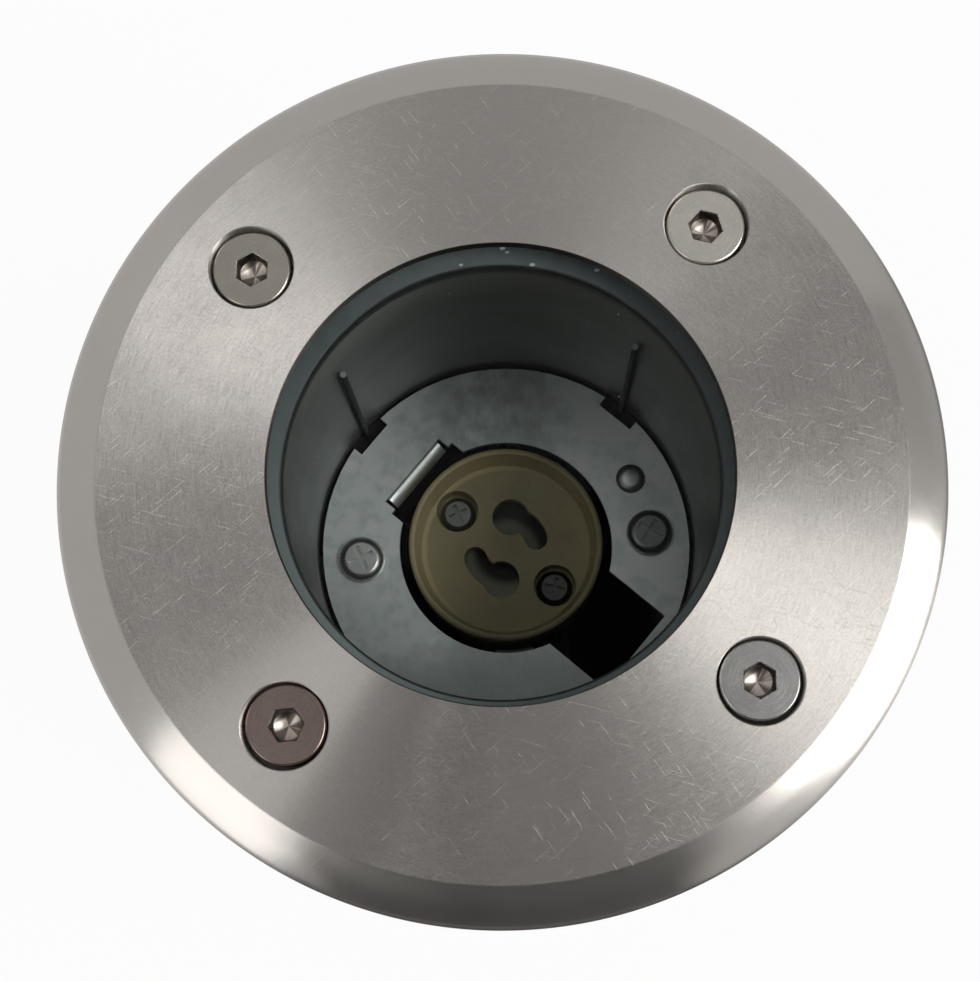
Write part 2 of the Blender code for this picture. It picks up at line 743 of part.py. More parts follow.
def cut_floor_holes(body):
    """The floor's clearance hole for the gland and its blind holes for the block's screws."""
    low = FLOOR_BOTTOM - OVERRUN
    high = FLOOR_TOP + OVERRUN
    gland_hole = prism("gland_hole", GLAND_THREAD_RADIUS + GAP, low, high, steps=MEDIUM_STEPS)
    cut(body, shifted(gland_hole, (0.0, -GLAND_OFFSET, 0.0)))
    hole_bottom = FLOOR_TOP - FIXING_REACH - GAP
    for number, centre in enumerate(fixing_places()):
        hole = prism(
            f"fixing_hole_{number + 1}",
            FIXING_THREAD_RADIUS + GAP,
            hole_bottom,
            high,
            steps=TINY_STEPS,
        )
        cut(body, shifted(hole, centre))


def tongue_outline():
    """The tongue's section: bent down from the plate, then in under the lampholder."""
    inner = BEND_RADIUS - TONGUE_THICKNESS
    root = LEG_FACE + BEND_RADIUS
    end = -(POCKET_OFFSET + TONGUE_MARGIN)
    quarter = math.pi / 2
    top = PLATE_TOP - TONGUE_STEP
    points = [(root + OVERRUN, top)]
    points += arc(root, top - BEND_RADIUS, BEND_RADIUS, quarter, 2 * quarter)
    points += arc(LEG_FACE - inner, TONGUE_TOP + inner, inner, 0.0, -quarter)
    points += [(end, TONGUE_TOP), (end, TONGUE_BOTTOM)]
    points += arc(LEG_FACE - inner, TONGUE_TOP + inner, BEND_RADIUS, -quarter, 0.0)
    points += arc(root, top - BEND_RADIUS, inner, 2 * quarter, quarter)
    points += [(root + OVERRUN, top - TONGUE_THICKNESS)]
    return points


def lampholder_bracket():
    """The plated disc, slotted for its own tongue, which carries the lampholder below it."""
    body = prism("lampholder_bracket", PLATE_RADIUS, PLATE_BOTTOM, PLATE_TOP, "zinc_plate", ROUND_STEPS)
    low = PLATE_BOTTOM - OVERRUN
    high = PLATE_TOP + OVERRUN
    hole = prism("holder_hole", HOLDER_RADIUS + PLATE_HOLE_CLEARANCE, low, high, steps=ROUND_STEPS)
    slot = block("tongue_slot", (-SLOT_REACH, -SLOT_WIDTH / 2, low), (LEG_FACE, SLOT_WIDTH / 2, high))
    half = TONGUE_WIDTH / 2 + TONGUE_RELIEF
    root = block("tongue_root", (0.0, -half, low), (LEG_FACE + BEND_RADIUS, half, high))
    cut(body, hole, swung(slot, TONGUE_ANGLE), swung(root, TONGUE_ANGLE))
    for number, angle in enumerate(WIRE_ANGLES):
        notch = block(
            f"rim_notch_{number + 1}",
            (PLATE_RADIUS - NOTCH_DEPTH, -NOTCH_WIDTH / 2, low),
            (PLATE_RADIUS + OVERRUN, NOTCH_WIDTH / 2, high),
        )
        cut(body, swung(notch, angle))
    for side in (-1, 1):
        screw_hole = prism(f"plate_hole_{side}", BRACKET_THREAD_RADIUS + GAP, low, high, steps=TINY_STEPS)
        cut(body, shifted(screw_hole, post_place(side)))
    rivet_hole = prism("rivet_hole", RIVET_RADIUS + GAP, low, high, steps=TINY_STEPS)
    cut(body, shifted(rivet_hole, polar(RIVET_OFFSET, RIVET_ANGLE)))
    tongue = plate_from_outline("tongue", tongue_outline(), TONGUE_WIDTH, upright_angle=TONGUE_ANGLE)
    join(body, tongue)
    for side in (-1, 1):
        tongue_hole = prism(
            f"tongue_hole_{side}",
            HOLDER_SCREW_RADIUS + GAP,
            TONGUE_BOTTOM - OVERRUN,
            TONGUE_TOP + OVERRUN,
            steps=TINY_STEPS,
        )
        cut(body, shifted(tongue_hole, pocket_place(side)))
    settle(body)


def pan_screw(name, head_radius, head_height, thread_radius, seat, tip, finish_name, crossed=True):
    """A pan-head screw standing on the vertical axis at its seat, with a cross recess."""
    head_top = seat + head_height
    outline = [(head_radius * out, head_top - head_height * fall) for out, fall in PAN_HEAD_SHARES]
    outline += [(thread_radius, seat), (thread_radius, tip), (0.0, tip)]
    screw = turned(name, outline, finish_name, steps=SMALL_STEPS, closed=False)
    if crossed:
        long_half = head_radius * CROSS_LENGTH_SHARE / 2
        short_half = head_radius * CROSS_WIDTH_SHARE / 2
        low = head_top - head_height * CROSS_DEPTH_SHARE
        high = head_top + OVERRUN
        along_x = block(f"{name}_cross_x", (-long_half, -short_half, low), (long_half, short_half, high))
        along_y = block(f"{name}_cross_y", (-short_half, -long_half, low), (short_half, long_half, high))
        cut(screw, along_x, along_y)
    return settle(screw)


def bracket_screws():
    seat = PLATE_TOP + GAP
    first = pan_screw(
        "bracket_screw_1",
        BRACKET_HEAD_RADIUS,
        BRACKET_HEAD_HEIGHT,
        BRACKET_THREAD_RADIUS,
        seat,
        POST_TOP - BRACKET_SCREW_REACH,
        "zinc_plate",
    )
    first.location = post_place(-1)
    first.rotation_euler.z = BRACKET_SCREW_TURNS[0]
    copy_of(first, "bracket_screw_2", post_place(1), BRACKET_SCREW_TURNS[1])


def earth_rivet():
    """A round-headed rivet through the plate and the earth lug, upset below the lug."""
    seat = PLATE_TOP + GAP
    head_top = seat + RIVET_HEAD_HEIGHT
    tail_top = LUG_BOTTOM - GAP
    tail_bottom = tail_top - RIVET_TAIL_HEIGHT
    outline = [
        (RIVET_HEAD_RADIUS * out, head_top - RIVET_HEAD_HEIGHT * fall) for out, fall in PAN_HEAD_SHARES
    ]
    outline += [
        (RIVET_RADIUS, seat),
        (RIVET_RADIUS, tail_top),
        (RIVET_HEAD_RADIUS, tail_top),
        (RIVET_HEAD_RADIUS, tail_bottom),
        (0.0, tail_bottom),
    ]
    rivet = turned("earth_rivet", outline, "zinc_plate", steps=SMALL_STEPS, closed=False)
    settle(rivet)
    rivet.location = polar(RIVET_OFFSET, RIVET_ANGLE)


def earth_lug():
    """A ring lug under the plate, its neck pointing clear of the lampholder and the post."""
    half = LUG_NECK_WIDTH / 2
    spread = math.acos(half / LUG_RADIUS)
    outline = [(half, LUG_REACH), (-half, LUG_REACH)]
    outline += arc(0.0, 0.0, LUG_RADIUS, math.pi - spread, 2 * math.pi + spread, 4 * ARC_STEPS)
    lug = plate_from_outline("earth_lug", outline, LUG_THICKNESS, "brass")
    hole = prism(
        "lug_hole", RIVET_RADIUS + GAP, -LUG_THICKNESS - OVERRUN, LUG_THICKNESS + OVERRUN, steps=TINY_STEPS
    )
    cut(lug, hole)
    settle(lug)
    lug.rotation_euler.z = LUG_ANGLE - math.pi / 2
    lug.location = polar(RIVET_OFFSET, RIVET_ANGLE, LUG_BOTTOM + LUG_THICKNESS / 2)


def steady_wires():
    """Two spring wires rise along the wall from feet trapped under the plate."""
    foot_level = PLATE_BOTTOM - GAP - WIRE_RADIUS
    bend_start = (WIRE_OFFSET - WIRE_BEND, foot_level + WIRE_BEND)
    for number, angle in enumerate(WIRE_ANGLES):
        points = [(WIRE_OFFSET - WIRE_FOOT, foot_level)]
        points += arc(*bend_start, WIRE_BEND, -math.pi / 2, 0.0)
        points += [(WIRE_OFFSET, PLATE_TOP + WIRE_HEIGHT)]
        route = [polar(radius, angle, level) for radius, level in points]
        settle(tube(f"steady_wire_{number + 1}", route, WIRE_RADIUS, "dark_steel"))


def lock_slot_outline():
    """A round-ended slot along the pin circle, from the entry hole to the locked place."""
    half = LOCK_SLOT_WIDTH / 2
    entry = polar(PIN_CIRCLE_RADIUS, ENTRY_TURN)
    end = polar(PIN_CIRCLE_RADIUS, SLOT_TURN)
    half_turn = math.pi
    points = arc(0.0, 0.0, PIN_CIRCLE_RADIUS + half, SLOT_TURN, ENTRY_TURN, 2 * ARC_STEPS)
    points += arc(entry.x, entry.y, half, ENTRY_TURN, ENTRY_TURN + half_turn)[1:-1]
    points += arc(0.0, 0.0, PIN_CIRCLE_RADIUS - half, ENTRY_TURN, SLOT_TURN, 2 * ARC_STEPS)
    points += arc(end.x, end.y, half, SLOT_TURN + half_turn, SLOT_TURN + 2 * half_turn)[1:-1]
    return points


def lampholder_body():
    """The ceramic dish: a raised rim, two twist-lock slots in its floor and two screw pockets."""
    shoulder = HOLDER_RADIUS - HOLDER_ROUNDING
    rim = HOLDER_RADIUS - HOLDER_RIM_WIDTH
    corner = (shoulder, HOLDER_TOP - HOLDER_ROUNDING)
    outline = [(0.0, HOLDER_FACE), (rim - HOLDER_DISH_SLOPE, HOLDER_FACE), (rim, HOLDER_TOP)]
    outline += arc(*corner, HOLDER_ROUNDING, math.pi / 2, 0.0, ARC_STEPS // 2)
    outline += [(HOLDER_RADIUS, HOLDER_BOTTOM), (0.0, HOLDER_BOTTOM)]
    body = turned("lampholder_body", outline, "khaki_ceramic", closed=False)
    thickness = HOLDER_FRONT_WALL + 2 * OVERRUN
    high = HOLDER_FACE + OVERRUN
    for side, facing in enumerate((CONTACT_ANGLE, CONTACT_ANGLE + math.pi)):
        chamber = block(
            f"contact_chamber_{side + 1}",
            (CHAMBER_START, -CHAMBER_WIDTH / 2, HOLDER_BOTTOM - OVERRUN),
            (CHAMBER_END, CHAMBER_WIDTH / 2, HOLDER_WALL_BOTTOM),
        )
        slot = plate_from_outline(f"lock_slot_{side + 1}", lock_slot_outline(), thickness)
        slot.location.z = high - thickness / 2
        entry = prism(f"entry_{side + 1}", ENTRY_RADIUS, HOLDER_WALL_BOTTOM - OVERRUN, high)
        shifted(entry, polar(PIN_CIRCLE_RADIUS, ENTRY_TURN))
        cut(body, swung(chamber, facing), swung(slot, facing), swung(entry, facing))
    for side in (-1, 1):
        pocket = prism(f"pocket_{side}", POCKET_RADIUS, HOLDER_FACE - POCKET_DEPTH, high)
        hole = prism(
            f"pocket_hole_{side}",
            HOLDER_SCREW_RADIUS + GAP,
            HOLDER_BOTTOM - OVERRUN,
            HOLDER_FACE,
            steps=TINY_STEPS,
        )
        cut(body, shifted(pocket, pocket_place(side)), shifted(hole, pocket_place(side)))
    settle(body)


def lampholder_cap():
    """The ceramic cover behind the contacts, drilled for the screws and the two leads."""
    outline = [
        (0.0, CAP_TOP),
        (HOLDER_RADIUS, CAP_TOP),
        (HOLDER_RADIUS, CAP_BOTTOM + CAP_CHAMFER),
        (HOLDER_RADIUS - CAP_CHAMFER, CAP_BOTTOM),
        (0.0, CAP_BOTTOM),
    ]
    body = turned("lampholder_cap", outline, "khaki_ceramic", closed=False, steps=MEDIUM_STEPS)
    low = CAP_BOTTOM - OVERRUN
    high = CAP_TOP + OVERRUN
    for side in (-1, 1):
        screw_hole = prism(f"cap_screw_hole_{side}", HOLDER_SCREW_RADIUS + GAP, low, high, steps=TINY_STEPS)
        lead_hole = prism(f"cap_lead_hole_{side}", LEAD_RADIUS + GAP, low, high, steps=TINY_STEPS)
        cut(body, shifted(screw_hole, pocket_place(side)), shifted(lead_hole, lead_place(side)))
    settle(body)


def lead_place(side):
    return polar(side * LEAD_OFFSET, CONTACT_ANGLE)


def contacts():
    """A plated leaf close under each slot, stepped down to its lead at the lampholder's side."""
    low = CAP_TOP + GAP
    shelf = HOLDER_WALL_BOTTOM - CONTACT_DROP
    inner = CHAMBER_START + GAP
    outer = CHAMBER_END - GAP
    outline = [
        (outer, low),
        (outer, low + CONTACT_THICKNESS),
        (CONTACT_STEP + CONTACT_THICKNESS, low + CONTACT_THICKNESS),
        (CONTACT_STEP + CONTACT_THICKNESS, shelf),
        (inner, shelf),
        (inner, shelf - CONTACT_THICKNESS),
        (CONTACT_STEP, shelf - CONTACT_THICKNESS),
        (CONTACT_STEP, low),
    ]
    width = CHAMBER_WIDTH - 2 * GAP
    for name, facing in (("contact_live", CONTACT_ANGLE), ("contact_neutral", CONTACT_ANGLE + math.pi)):
        settle(plate_from_outline(name, outline, width, "nickel_strip", upright_angle=facing))


def lampholder_screws():
    """Two pan-head screws sunk in the ceramic's pockets."""
    seat = HOLDER_FACE - POCKET_DEPTH + GAP
    tip = TONGUE_BOTTOM - GAP - NUT_THICKNESS - NUT_TAIL
    first = pan_screw(
        "lampholder_screw_1",
        HOLDER_HEAD_RADIUS,
        HOLDER_HEAD_HEIGHT,
        HOLDER_SCREW_RADIUS,
        seat,
        tip,
        "zinc_plate",
    )
    first.location = pocket_place(1)
    first.rotation_euler.z = HOLDER_SCREW_TURN
    copy_of(first, "lampholder_screw_2", pocket_place(-1), -HOLDER_SCREW_TURN)


def hex_nut(name, width, bore_radius, bottom, top, finish_name, steps):
    """A hexagonal nut on the vertical axis, between two levels."""
    nut = prism(name, width / math.sqrt(3.0), bottom, top, finish_name, steps=HEX_STEPS)
    hole = prism(f"{name}_hole", bore_radius, bottom - OVERRUN, top + OVERRUN, steps=steps)
    return settle(cut(nut, hole))


def lampholder_nuts():
    top = TONGUE_BOTTOM - GAP
    bore_radius = HOLDER_SCREW_RADIUS + GAP
    first = hex_nut(
        "lampholder_nut_1", NUT_WIDTH, bore_radius, top - NUT_THICKNESS, top, "zinc_plate", TINY_STEPS
    )
    twin_level = first.location.z
    shifted(first, pocket_place(1))
    copy_of(first, "lampholder_nut_2", pocket_place(-1) + Vector((0.0, 0.0, twin_level)))


def pole_x(pole):
    return (pole - (POLE_COUNT - 1) / 2) * POLE_PITCH


def clamp_screw_place(pole, side):
    return Vector((pole_x(pole), BLOCK_OFFSET + side * CLAMP_SCREW_OFFSET, 0.0))


def terminal_block():
    """A three-pole block on the housing floor: bores for the clamps and wells for their screws."""
    body = block(
        "terminal_block",
        (-BLOCK_LENGTH / 2, BLOCK_OFFSET - BLOCK_WIDTH / 2, BLOCK_BOTTOM),
        (BLOCK_LENGTH / 2, BLOCK_OFFSET + BLOCK_WIDTH / 2, BLOCK_TOP),
        "black_plastic",
    )
    bore_half = BLOCK_WIDTH / 2 + OVERRUN
    well_radius = CLAMP_SCREW_RADIUS + GAP
    for pole in range(POLE_COUNT):
        bore = prism(f"pole_bore_{pole + 1}", CLAMP_RADIUS + GAP, -bore_half, bore_half)
        cut(body, laid_along_y(bore, (pole_x(pole), BLOCK_OFFSET, CLAMP_LEVEL)))
        for side in (-1, 1):
            name = f"screw_well_{pole + 1}_{side}"
            well = prism(name, well_radius, CLAMP_LEVEL, BLOCK_TOP + OVERRUN, steps=TINY_STEPS)
            cut(body, shifted(well, clamp_screw_place(pole, side)))
    for number, centre in enumerate(fixing_places()):
        hole = prism(
            f"block_fixing_hole_{number + 1}",
            FIXING_THREAD_RADIUS + GAP,
            BLOCK_BOTTOM - OVERRUN,
            BLOCK_TOP,
            steps=TINY_STEPS,
        )
        head_well = prism(
            f"block_fixing_well_{number + 1}",
            FIXING_HEAD_RADIUS + GAP,
            BLOCK_BOTTOM + FIXING_SEAT,
            BLOCK_TOP + OVERRUN,
            steps=TINY_STEPS,
        )
        cut(body, shifted(hole, centre), shifted(head_well, centre))
    settle(body)


def terminal_clamps():
    """A brass tube for each pole, bored for the wires and tapped for its two screws."""
    half = BLOCK_WIDTH / 2 - CLAMP_INSET
    reach = half + OVERRUN
    tapping_top = CLAMP_LEVEL + CLAMP_RADIUS + OVERRUN
    for pole in range(POLE_COUNT):
        centre = (pole_x(pole), BLOCK_OFFSET, CLAMP_LEVEL)
        clamp = laid_along_y(prism(f"terminal_clamp_{pole + 1}", CLAMP_RADIUS, -half, half, "brass"), centre)
        bore = prism(f"clamp_bore_{pole + 1}", CLAMP_BORE_RADIUS, -reach, reach, steps=TINY_STEPS)
        cut(clamp, laid_along_y(bore, centre))
        for side in (-1, 1):
            name = f"clamp_tapping_{pole + 1}_{side}"
            tapping = prism(name, CLAMP_SCREW_RADIUS + GAP, CLAMP_LEVEL, tapping_top, steps=TINY_STEPS)
            cut(clamp, shifted(tapping, clamp_screw_place(pole, side)))
        settle(clamp)


def terminal_screws():
    """Slotted grub screws that press each wire down in its clamp."""
    bottom = CLAMP_LEVEL + LEAD_RADIUS + GAP
    top = bottom + CLAMP_SCREW_HEIGHT
    first = prism("terminal_screw_1", CLAMP_SCREW_RADIUS, bottom, top, "brass", steps=TINY_STEPS)
    reach = CLAMP_SCREW_RADIUS + OVERRUN
    slot = block(
        "grub_slot",
        (-reach, -CLAMP_SLOT_WIDTH / 2, top - CLAMP_SLOT_DEPTH),
        (reach, CLAMP_SLOT_WIDTH / 2, top + OVERRUN),
    )
    cut(first, slot)
    settle(first)
    level = first.location.copy()
    places = [clamp_screw_place(pole, side) for pole in range(POLE_COUNT) for side in (-1, 1)]
    shifted(first, places[0])
    for number, spot in enumerate(places[1:]):
        copy_of(first, f"terminal_screw_{number + 2}", level + spot)


def terminal_fixing_screws():
    seat = BLOCK_BOTTOM + FIXING_SEAT + GAP
    first = pan_screw(
        "terminal_fixing_screw_1",
        FIXING_HEAD_RADIUS,
        FIXING_HEAD_HEIGHT,
        FIXING_THREAD_RADIUS,
        seat,
        FLOOR_TOP - FIXING_REACH,
        "zinc_plate",
        crossed=False,
    )
    places = fixing_places()
    first.location = places[0]
    copy_of(first, "terminal_fixing_screw_2", places[1])


def routed_lead(name, start, route_shares, span, pole, side, finish_name):
    """Run a lead from its start to one side of a pole and in under that side's screw."""
    middle = [
        Vector((x * span, y * span, FLOOR_TOP + z * WIRING_DEPTH)) for x, y, z in route_shares
    ]
    face = BLOCK_OFFSET + side * BLOCK_WIDTH / 2
    ends = [face + side * 2 * LEAD_RADIUS, face, BLOCK_OFFSET + side * CLAMP_SCREW_OFFSET / 2]
    inward = [Vector((pole_x(pole), y, CLAMP_LEVEL)) for y in ends]
    path = smooth_route([start, *middle, *inward], LEAD_STEPS)
    settle(tube(name, path, LEAD_RADIUS, finish_name))


def leads():
    """Sleeved leads from the contacts and the earth lug to the terminal block."""
    up = Vector((0.0, 0.0, CAP_TOP))
    routed_lead("live_lead", lead_place(1) + up, LIVE_ROUTE_SHARES, BORE_RADIUS, 1, 1, "brown_sheath")
    routed_lead("neutral_lead", lead_place(-1) + up, NEUTRAL_ROUTE_SHARES, BORE_RADIUS, 0, 1, "blue_sheath")
    neck_reach = LUG_REACH - LEAD_RADIUS - GAP
    neck = polar(RIVET_OFFSET, RIVET_ANGLE) + polar(neck_reach, LUG_ANGLE, LUG_BOTTOM - GAP)
    last = POLE_COUNT - 1
    routed_lead("earth_lead", neck, EARTH_ROUTE_SHARES, POST_GAP_OFFSET, last, -1, "green_sheath")


def gland_body():
    """The gland's body: threaded stub through the floor, hexagon below it, collar for the nut."""
    hex_middle = GLAND_HEX_BOTTOM + GLAND_HEX_THICKNESS / 2
    stub_top = FLOOR_TOP + GLAND_STUB
    body = prism(
        "gland_body",
        GLAND_HEX_WIDTH / math.sqrt(3.0),
        GLAND_HEX_BOTTOM,
        GLAND_HEX_TOP,
        "black_nylon",
        HEX_STEPS,
    )
    stub = prism("gland_stub", GLAND_THREAD_RADIUS, hex_middle, stub_top, steps=MEDIUM_STEPS)
    collar = prism("gland_collar", GLAND_COLLAR_RADIUS, GLAND_COLLAR_END, hex_middle, steps=MEDIUM_STEPS)
    bore = prism(
        "gland_bore", GLAND_BORE_RADIUS, GLAND_COLLAR_END - OVERRUN, stub_top + OVERRUN, steps=MEDIUM_STEPS
    )
    join(body, stub, collar)
    cut(body, bore)
    settle(body)
    shifted(body, (0.0, -GLAND_OFFSET, 0.0))


def gland_oring():
    level = FLOOR_BOTTOM - GAP - ORING_TUBE_RADIUS
    centre = GLAND_THREAD_RADIUS + GAP + ORING_TUBE_RADIUS
    outline = arc(centre, level, ORING_TUBE_RADIUS, 2 * math.pi, 0.0, 2 * ARC_STEPS)[:-1]
    oring = turned("gland_oring", outline, "black_rubber", steps=MEDIUM_STEPS)
    settle(oring)
    oring.location.y = -GLAND_OFFSET


def gland_locknut():
    bottom = FLOOR_TOP + GAP
    nut = hex_nut(
        "gland_locknut",
        LOCKNUT_WIDTH,
        GLAND_THREAD_RADIUS + GAP,
        bottom,
        bottom + LOCKNUT_THICKNESS,
        "black_nylon",
        MEDIUM_STEPS,
    )
    shifted(nut, (0.0, -GLAND_OFFSET, 0.0))


def gland_insert():
    """The rubber seal inside the collar, with a flange below it that the nut squeezes."""
    outer = GLAND_BORE_RADIUS - GAP
    outline = [
        (outer, GLAND_HEX_BOTTOM),
        (outer, INSERT_FLANGE_TOP),
        (GLAND_COLLAR_RADIUS, INSERT_FLANGE_TOP),
        (GLAND_COLLAR_RADIUS, INSERT_FLANGE_BOTTOM),
        (INSERT_BORE_RADIUS, INSERT_FLANGE_BOTTOM),
        (INSERT_BORE_RADIUS, GLAND_HEX_BOTTOM),
    ]
    insert = turned("gland_insert", outline, "black_rubber", steps=MEDIUM_STEPS)
    settle(insert)
    insert.location.y = -GLAND_OFFSET


def gland_nut():
    """The dome nut: a hexagonal skirt round the collar and a dome closing on the cable."""
    top = GLAND_HEX_BOTTOM - GAP
    skirt_bottom = top - NUT_SKIRT_LENGTH
    seat = INSERT_FLANGE_BOTTOM - GAP
    mouth = top - NUT_LENGTH
    dome_radius = GLAND_COLLAR_RADIUS + NUT_WALL
    dome_top = skirt_bottom + NUT_SKIRT_LENGTH / 2
    cavity_radius = GLAND_COLLAR_RADIUS + GAP
    nut = prism("gland_nut", GLAND_HEX_WIDTH / math.sqrt(3.0), skirt_bottom, top, "black_nylon", HEX_STEPS)
    dome_outline = [(0.0, dome_top), (dome_radius, dome_top)]
    dome_outline += [
        (dome_radius * out, skirt_bottom - (skirt_bottom - mouth) * fall) for out, fall in DOME_SHARES
    ]
    dome_outline += [(0.0, mouth)]
    dome = turned("gland_dome", dome_outline, steps=MEDIUM_STEPS, closed=False)
    cavity_outline = [
        (0.0, top + OVERRUN),
        (cavity_radius, top + OVERRUN),
        (cavity_radius, seat),
        (NUT_MOUTH_RADIUS, seat),
        (NUT_MOUTH_RADIUS, mouth - OVERRUN),
        (0.0, mouth - OVERRUN),
    ]
    cavity = turned("gland_nut_cavity", cavity_outline, steps=MEDIUM_STEPS, closed=False)
    join(nut, dome)
    cut(nut, cavity)
    settle(nut)
    shifted(nut, (0.0, -GLAND_OFFSET, 0.0))


def ground_sleeve():
    """The plastic sleeve set in the ground: a rim for the flange, ribs outside and two cable slots."""
    rim_bottom = SLEEVE_HEIGHT - SLEEVE_RIM_THICKNESS
    outline = [
        (FLANGE_RADIUS, SLEEVE_HEIGHT),
        (FLANGE_RADIUS, rim_bottom),
        (SLEEVE_RADIUS, rim_bottom),
        (SLEEVE_RADIUS, 0.0),
        (SLEEVE_BORE, 0.0),
        (SLEEVE_BORE, SLEEVE_HEIGHT),
    ]
    body = turned("ground_sleeve", outline, "black_plastic")
    rib_top = rim_bottom + SLEEVE_RIM_THICKNESS / 2
    for number in range(RIB_COUNT):
        rib = block(
            f"sleeve_rib_{number + 1}",
            (SLEEVE_RADIUS - SLEEVE_WALL / 2, -RIB_WIDTH / 2, 0.0),
            (SLEEVE_RADIUS + RIB_DEPTH, RIB_WIDTH / 2, rib_top),
        )
        join(body, swung(rib, math.pi * (2 * number + 1) / RIB_COUNT))
    for side in (-1, 1):
        slot = block(
            f"cable_slot_{side}",
            (-CABLE_SLOT_WIDTH / 2, -FACE_RADIUS, -OVERRUN),
            (CABLE_SLOT_WIDTH / 2, 0.0, CABLE_SLOT_HEIGHT),
        )
        cut(body, swung(slot, 0.0 if side > 0 else math.pi))
    settle(body)


def build():
    clear_scene()
    front_ring()
    window_glass()
    glass_gasket()
    face_screws()
    face_screw_washers()
    housing()
    lampholder_bracket()
    bracket_screws()
    earth_rivet()
    earth_lug()
    steady_wires()
    lampholder_body()
    lampholder_cap()
    contacts()
    lampholder_screws()
    lampholder_nuts()
    terminal_block()
    terminal_clamps()
    terminal_screws()
    terminal_fixing_screws()
    leads()
    gland_body()
    gland_oring()
    gland_locknut()
    gland_insert()
    gland_nut()
    ground_sleeve()


build()
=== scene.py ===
"""Dress the ground spotlight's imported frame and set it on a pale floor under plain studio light."""

import json
import logging
import math
from collections.abc import Mapping, Sequence
from dataclasses import dataclass
from enum import Enum

import bmesh
import bpy
from mathutils import Matrix, Vector


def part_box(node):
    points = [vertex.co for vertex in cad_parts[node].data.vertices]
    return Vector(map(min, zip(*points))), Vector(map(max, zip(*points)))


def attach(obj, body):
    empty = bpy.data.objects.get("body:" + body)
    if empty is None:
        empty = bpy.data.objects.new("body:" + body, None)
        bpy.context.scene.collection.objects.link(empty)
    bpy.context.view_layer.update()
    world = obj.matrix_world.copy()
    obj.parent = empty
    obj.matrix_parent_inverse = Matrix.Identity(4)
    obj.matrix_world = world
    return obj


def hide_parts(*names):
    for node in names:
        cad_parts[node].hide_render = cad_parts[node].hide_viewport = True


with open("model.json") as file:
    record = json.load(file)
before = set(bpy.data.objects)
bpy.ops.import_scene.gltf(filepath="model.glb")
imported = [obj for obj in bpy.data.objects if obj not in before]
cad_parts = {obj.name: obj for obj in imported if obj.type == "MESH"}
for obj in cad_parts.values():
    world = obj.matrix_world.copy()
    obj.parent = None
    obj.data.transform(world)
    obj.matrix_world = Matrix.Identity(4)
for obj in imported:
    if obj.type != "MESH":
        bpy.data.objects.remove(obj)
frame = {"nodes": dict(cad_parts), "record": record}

LOG = logging.getLogger("ground_spotlight")
Colour = tuple[float, float, float]
Triple = tuple[float, float, float]
Span = tuple[float, float]
Profile = Sequence[tuple[float, float]]
Piece = bpy.types.Object
Socket = bpy.types.NodeSocket
BODY_OF = {node: body for body, nodes in frame["record"]["behaviour"]["bodies"].items() for node in nodes}
SLOT_OF = {row["node"]: row["material_slot"] for row in frame["record"]["subparts"]}

# Assemblies are sized in metres and finishes in millimetres; bearings are in degrees from +X towards +Y.
MILLIMETRE = 0.001
FACE_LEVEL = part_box("front_ring")[1][2]
MERGE_DISTANCE = 0.000001
MERGE_ANGLE = math.radians(0.5)
SHARP_ANGLE = math.radians(35.0)
# A face with more corners than this, or with a normal this upright, is level and is shaded flat.
OUTLINE_CORNERS = 12
LEVEL_COSINE = 0.99999
QUARTER_TURN = 90.0
HALF = 0.5
EVEN = (1.0, 1.0, 1.0)
WHITE = (1.0, 1.0, 1.0, 1.0)
METAL = 1.0


@dataclass(frozen=True)
class Grain:
    """Smooth noise: how fine it is per millimetre, its octaves, their roughness and its stretch."""

    fineness: float
    octaves: float = 3.0
    roughness: float = 0.5
    stretch: Triple = EVEN


@dataclass(frozen=True)
class Specks:
    """Round spots: how fine they are per millimetre, where they fade outwards and their stretch."""

    fineness: float
    fade: Span
    stretch: Triple = EVEN


@dataclass(frozen=True)
class Wire:
    """An output socket that takes part in sums; every operator adds one Math node."""

    graph: "Graph"
    socket: Socket

    def math(self, operation: str, *others: "Wire | float") -> "Wire":
        """Put the wire, then any others, through a Math node's operation."""
        return self.graph.math(operation, self, *others)

    def __add__(self, other: "Wire | float") -> "Wire":
        """Return the sum, which is the same either way round."""
        return self.math("ADD", other)

    def __sub__(self, other: "Wire | float") -> "Wire":
        """Return self - other."""
        return self.math("SUBTRACT", other)

    def __rsub__(self, other: float) -> "Wire":
        """Return other - self."""
        return self.graph.math("SUBTRACT", other, self)

    def __mul__(self, other: "Wire | float") -> "Wire":
        """Return the product, which is the same either way round."""
        return self.math("MULTIPLY", other)

    def __truediv__(self, other: "Wire | float") -> "Wire":
        """Return self / other."""
        return self.math("DIVIDE", other)

    def __pow__(self, other: float) -> "Wire":
        """Return self to the power of other."""
        return self.math("POWER", other)

    __radd__ = __add__
    __rmul__ = __mul__

    def size(self) -> "Wire":
        """Return the absolute value."""
        return self.math("ABSOLUTE")

    def rise(self, edge: Span, about: float = 0.0, start: float = 0.0, end: float = 1.0) -> "Wire":
        """Ease from one value to another.

        Args:
            edge: Where the step begins and where it ends.
            about: What both ends are counted from.
            start: The result before the step.
            end: The result after the step.

        Returns:
            The eased value.
        """
        inputs = {0: self, 1: about + edge[0], 2: about + edge[1], 3: start, 4: end}
        node = self.graph.add("ShaderNodeMapRange", {"interpolation_type": "SMOOTHSTEP"}, inputs)
        return Wire(self.graph, node.outputs[0])

    def fall(self, edge: Span, about: float = 0.0) -> "Wire":
        """Ease from one down to zero over an edge that is counted from a value."""
        return self.rise(edge, about, 1.0, 0.0)


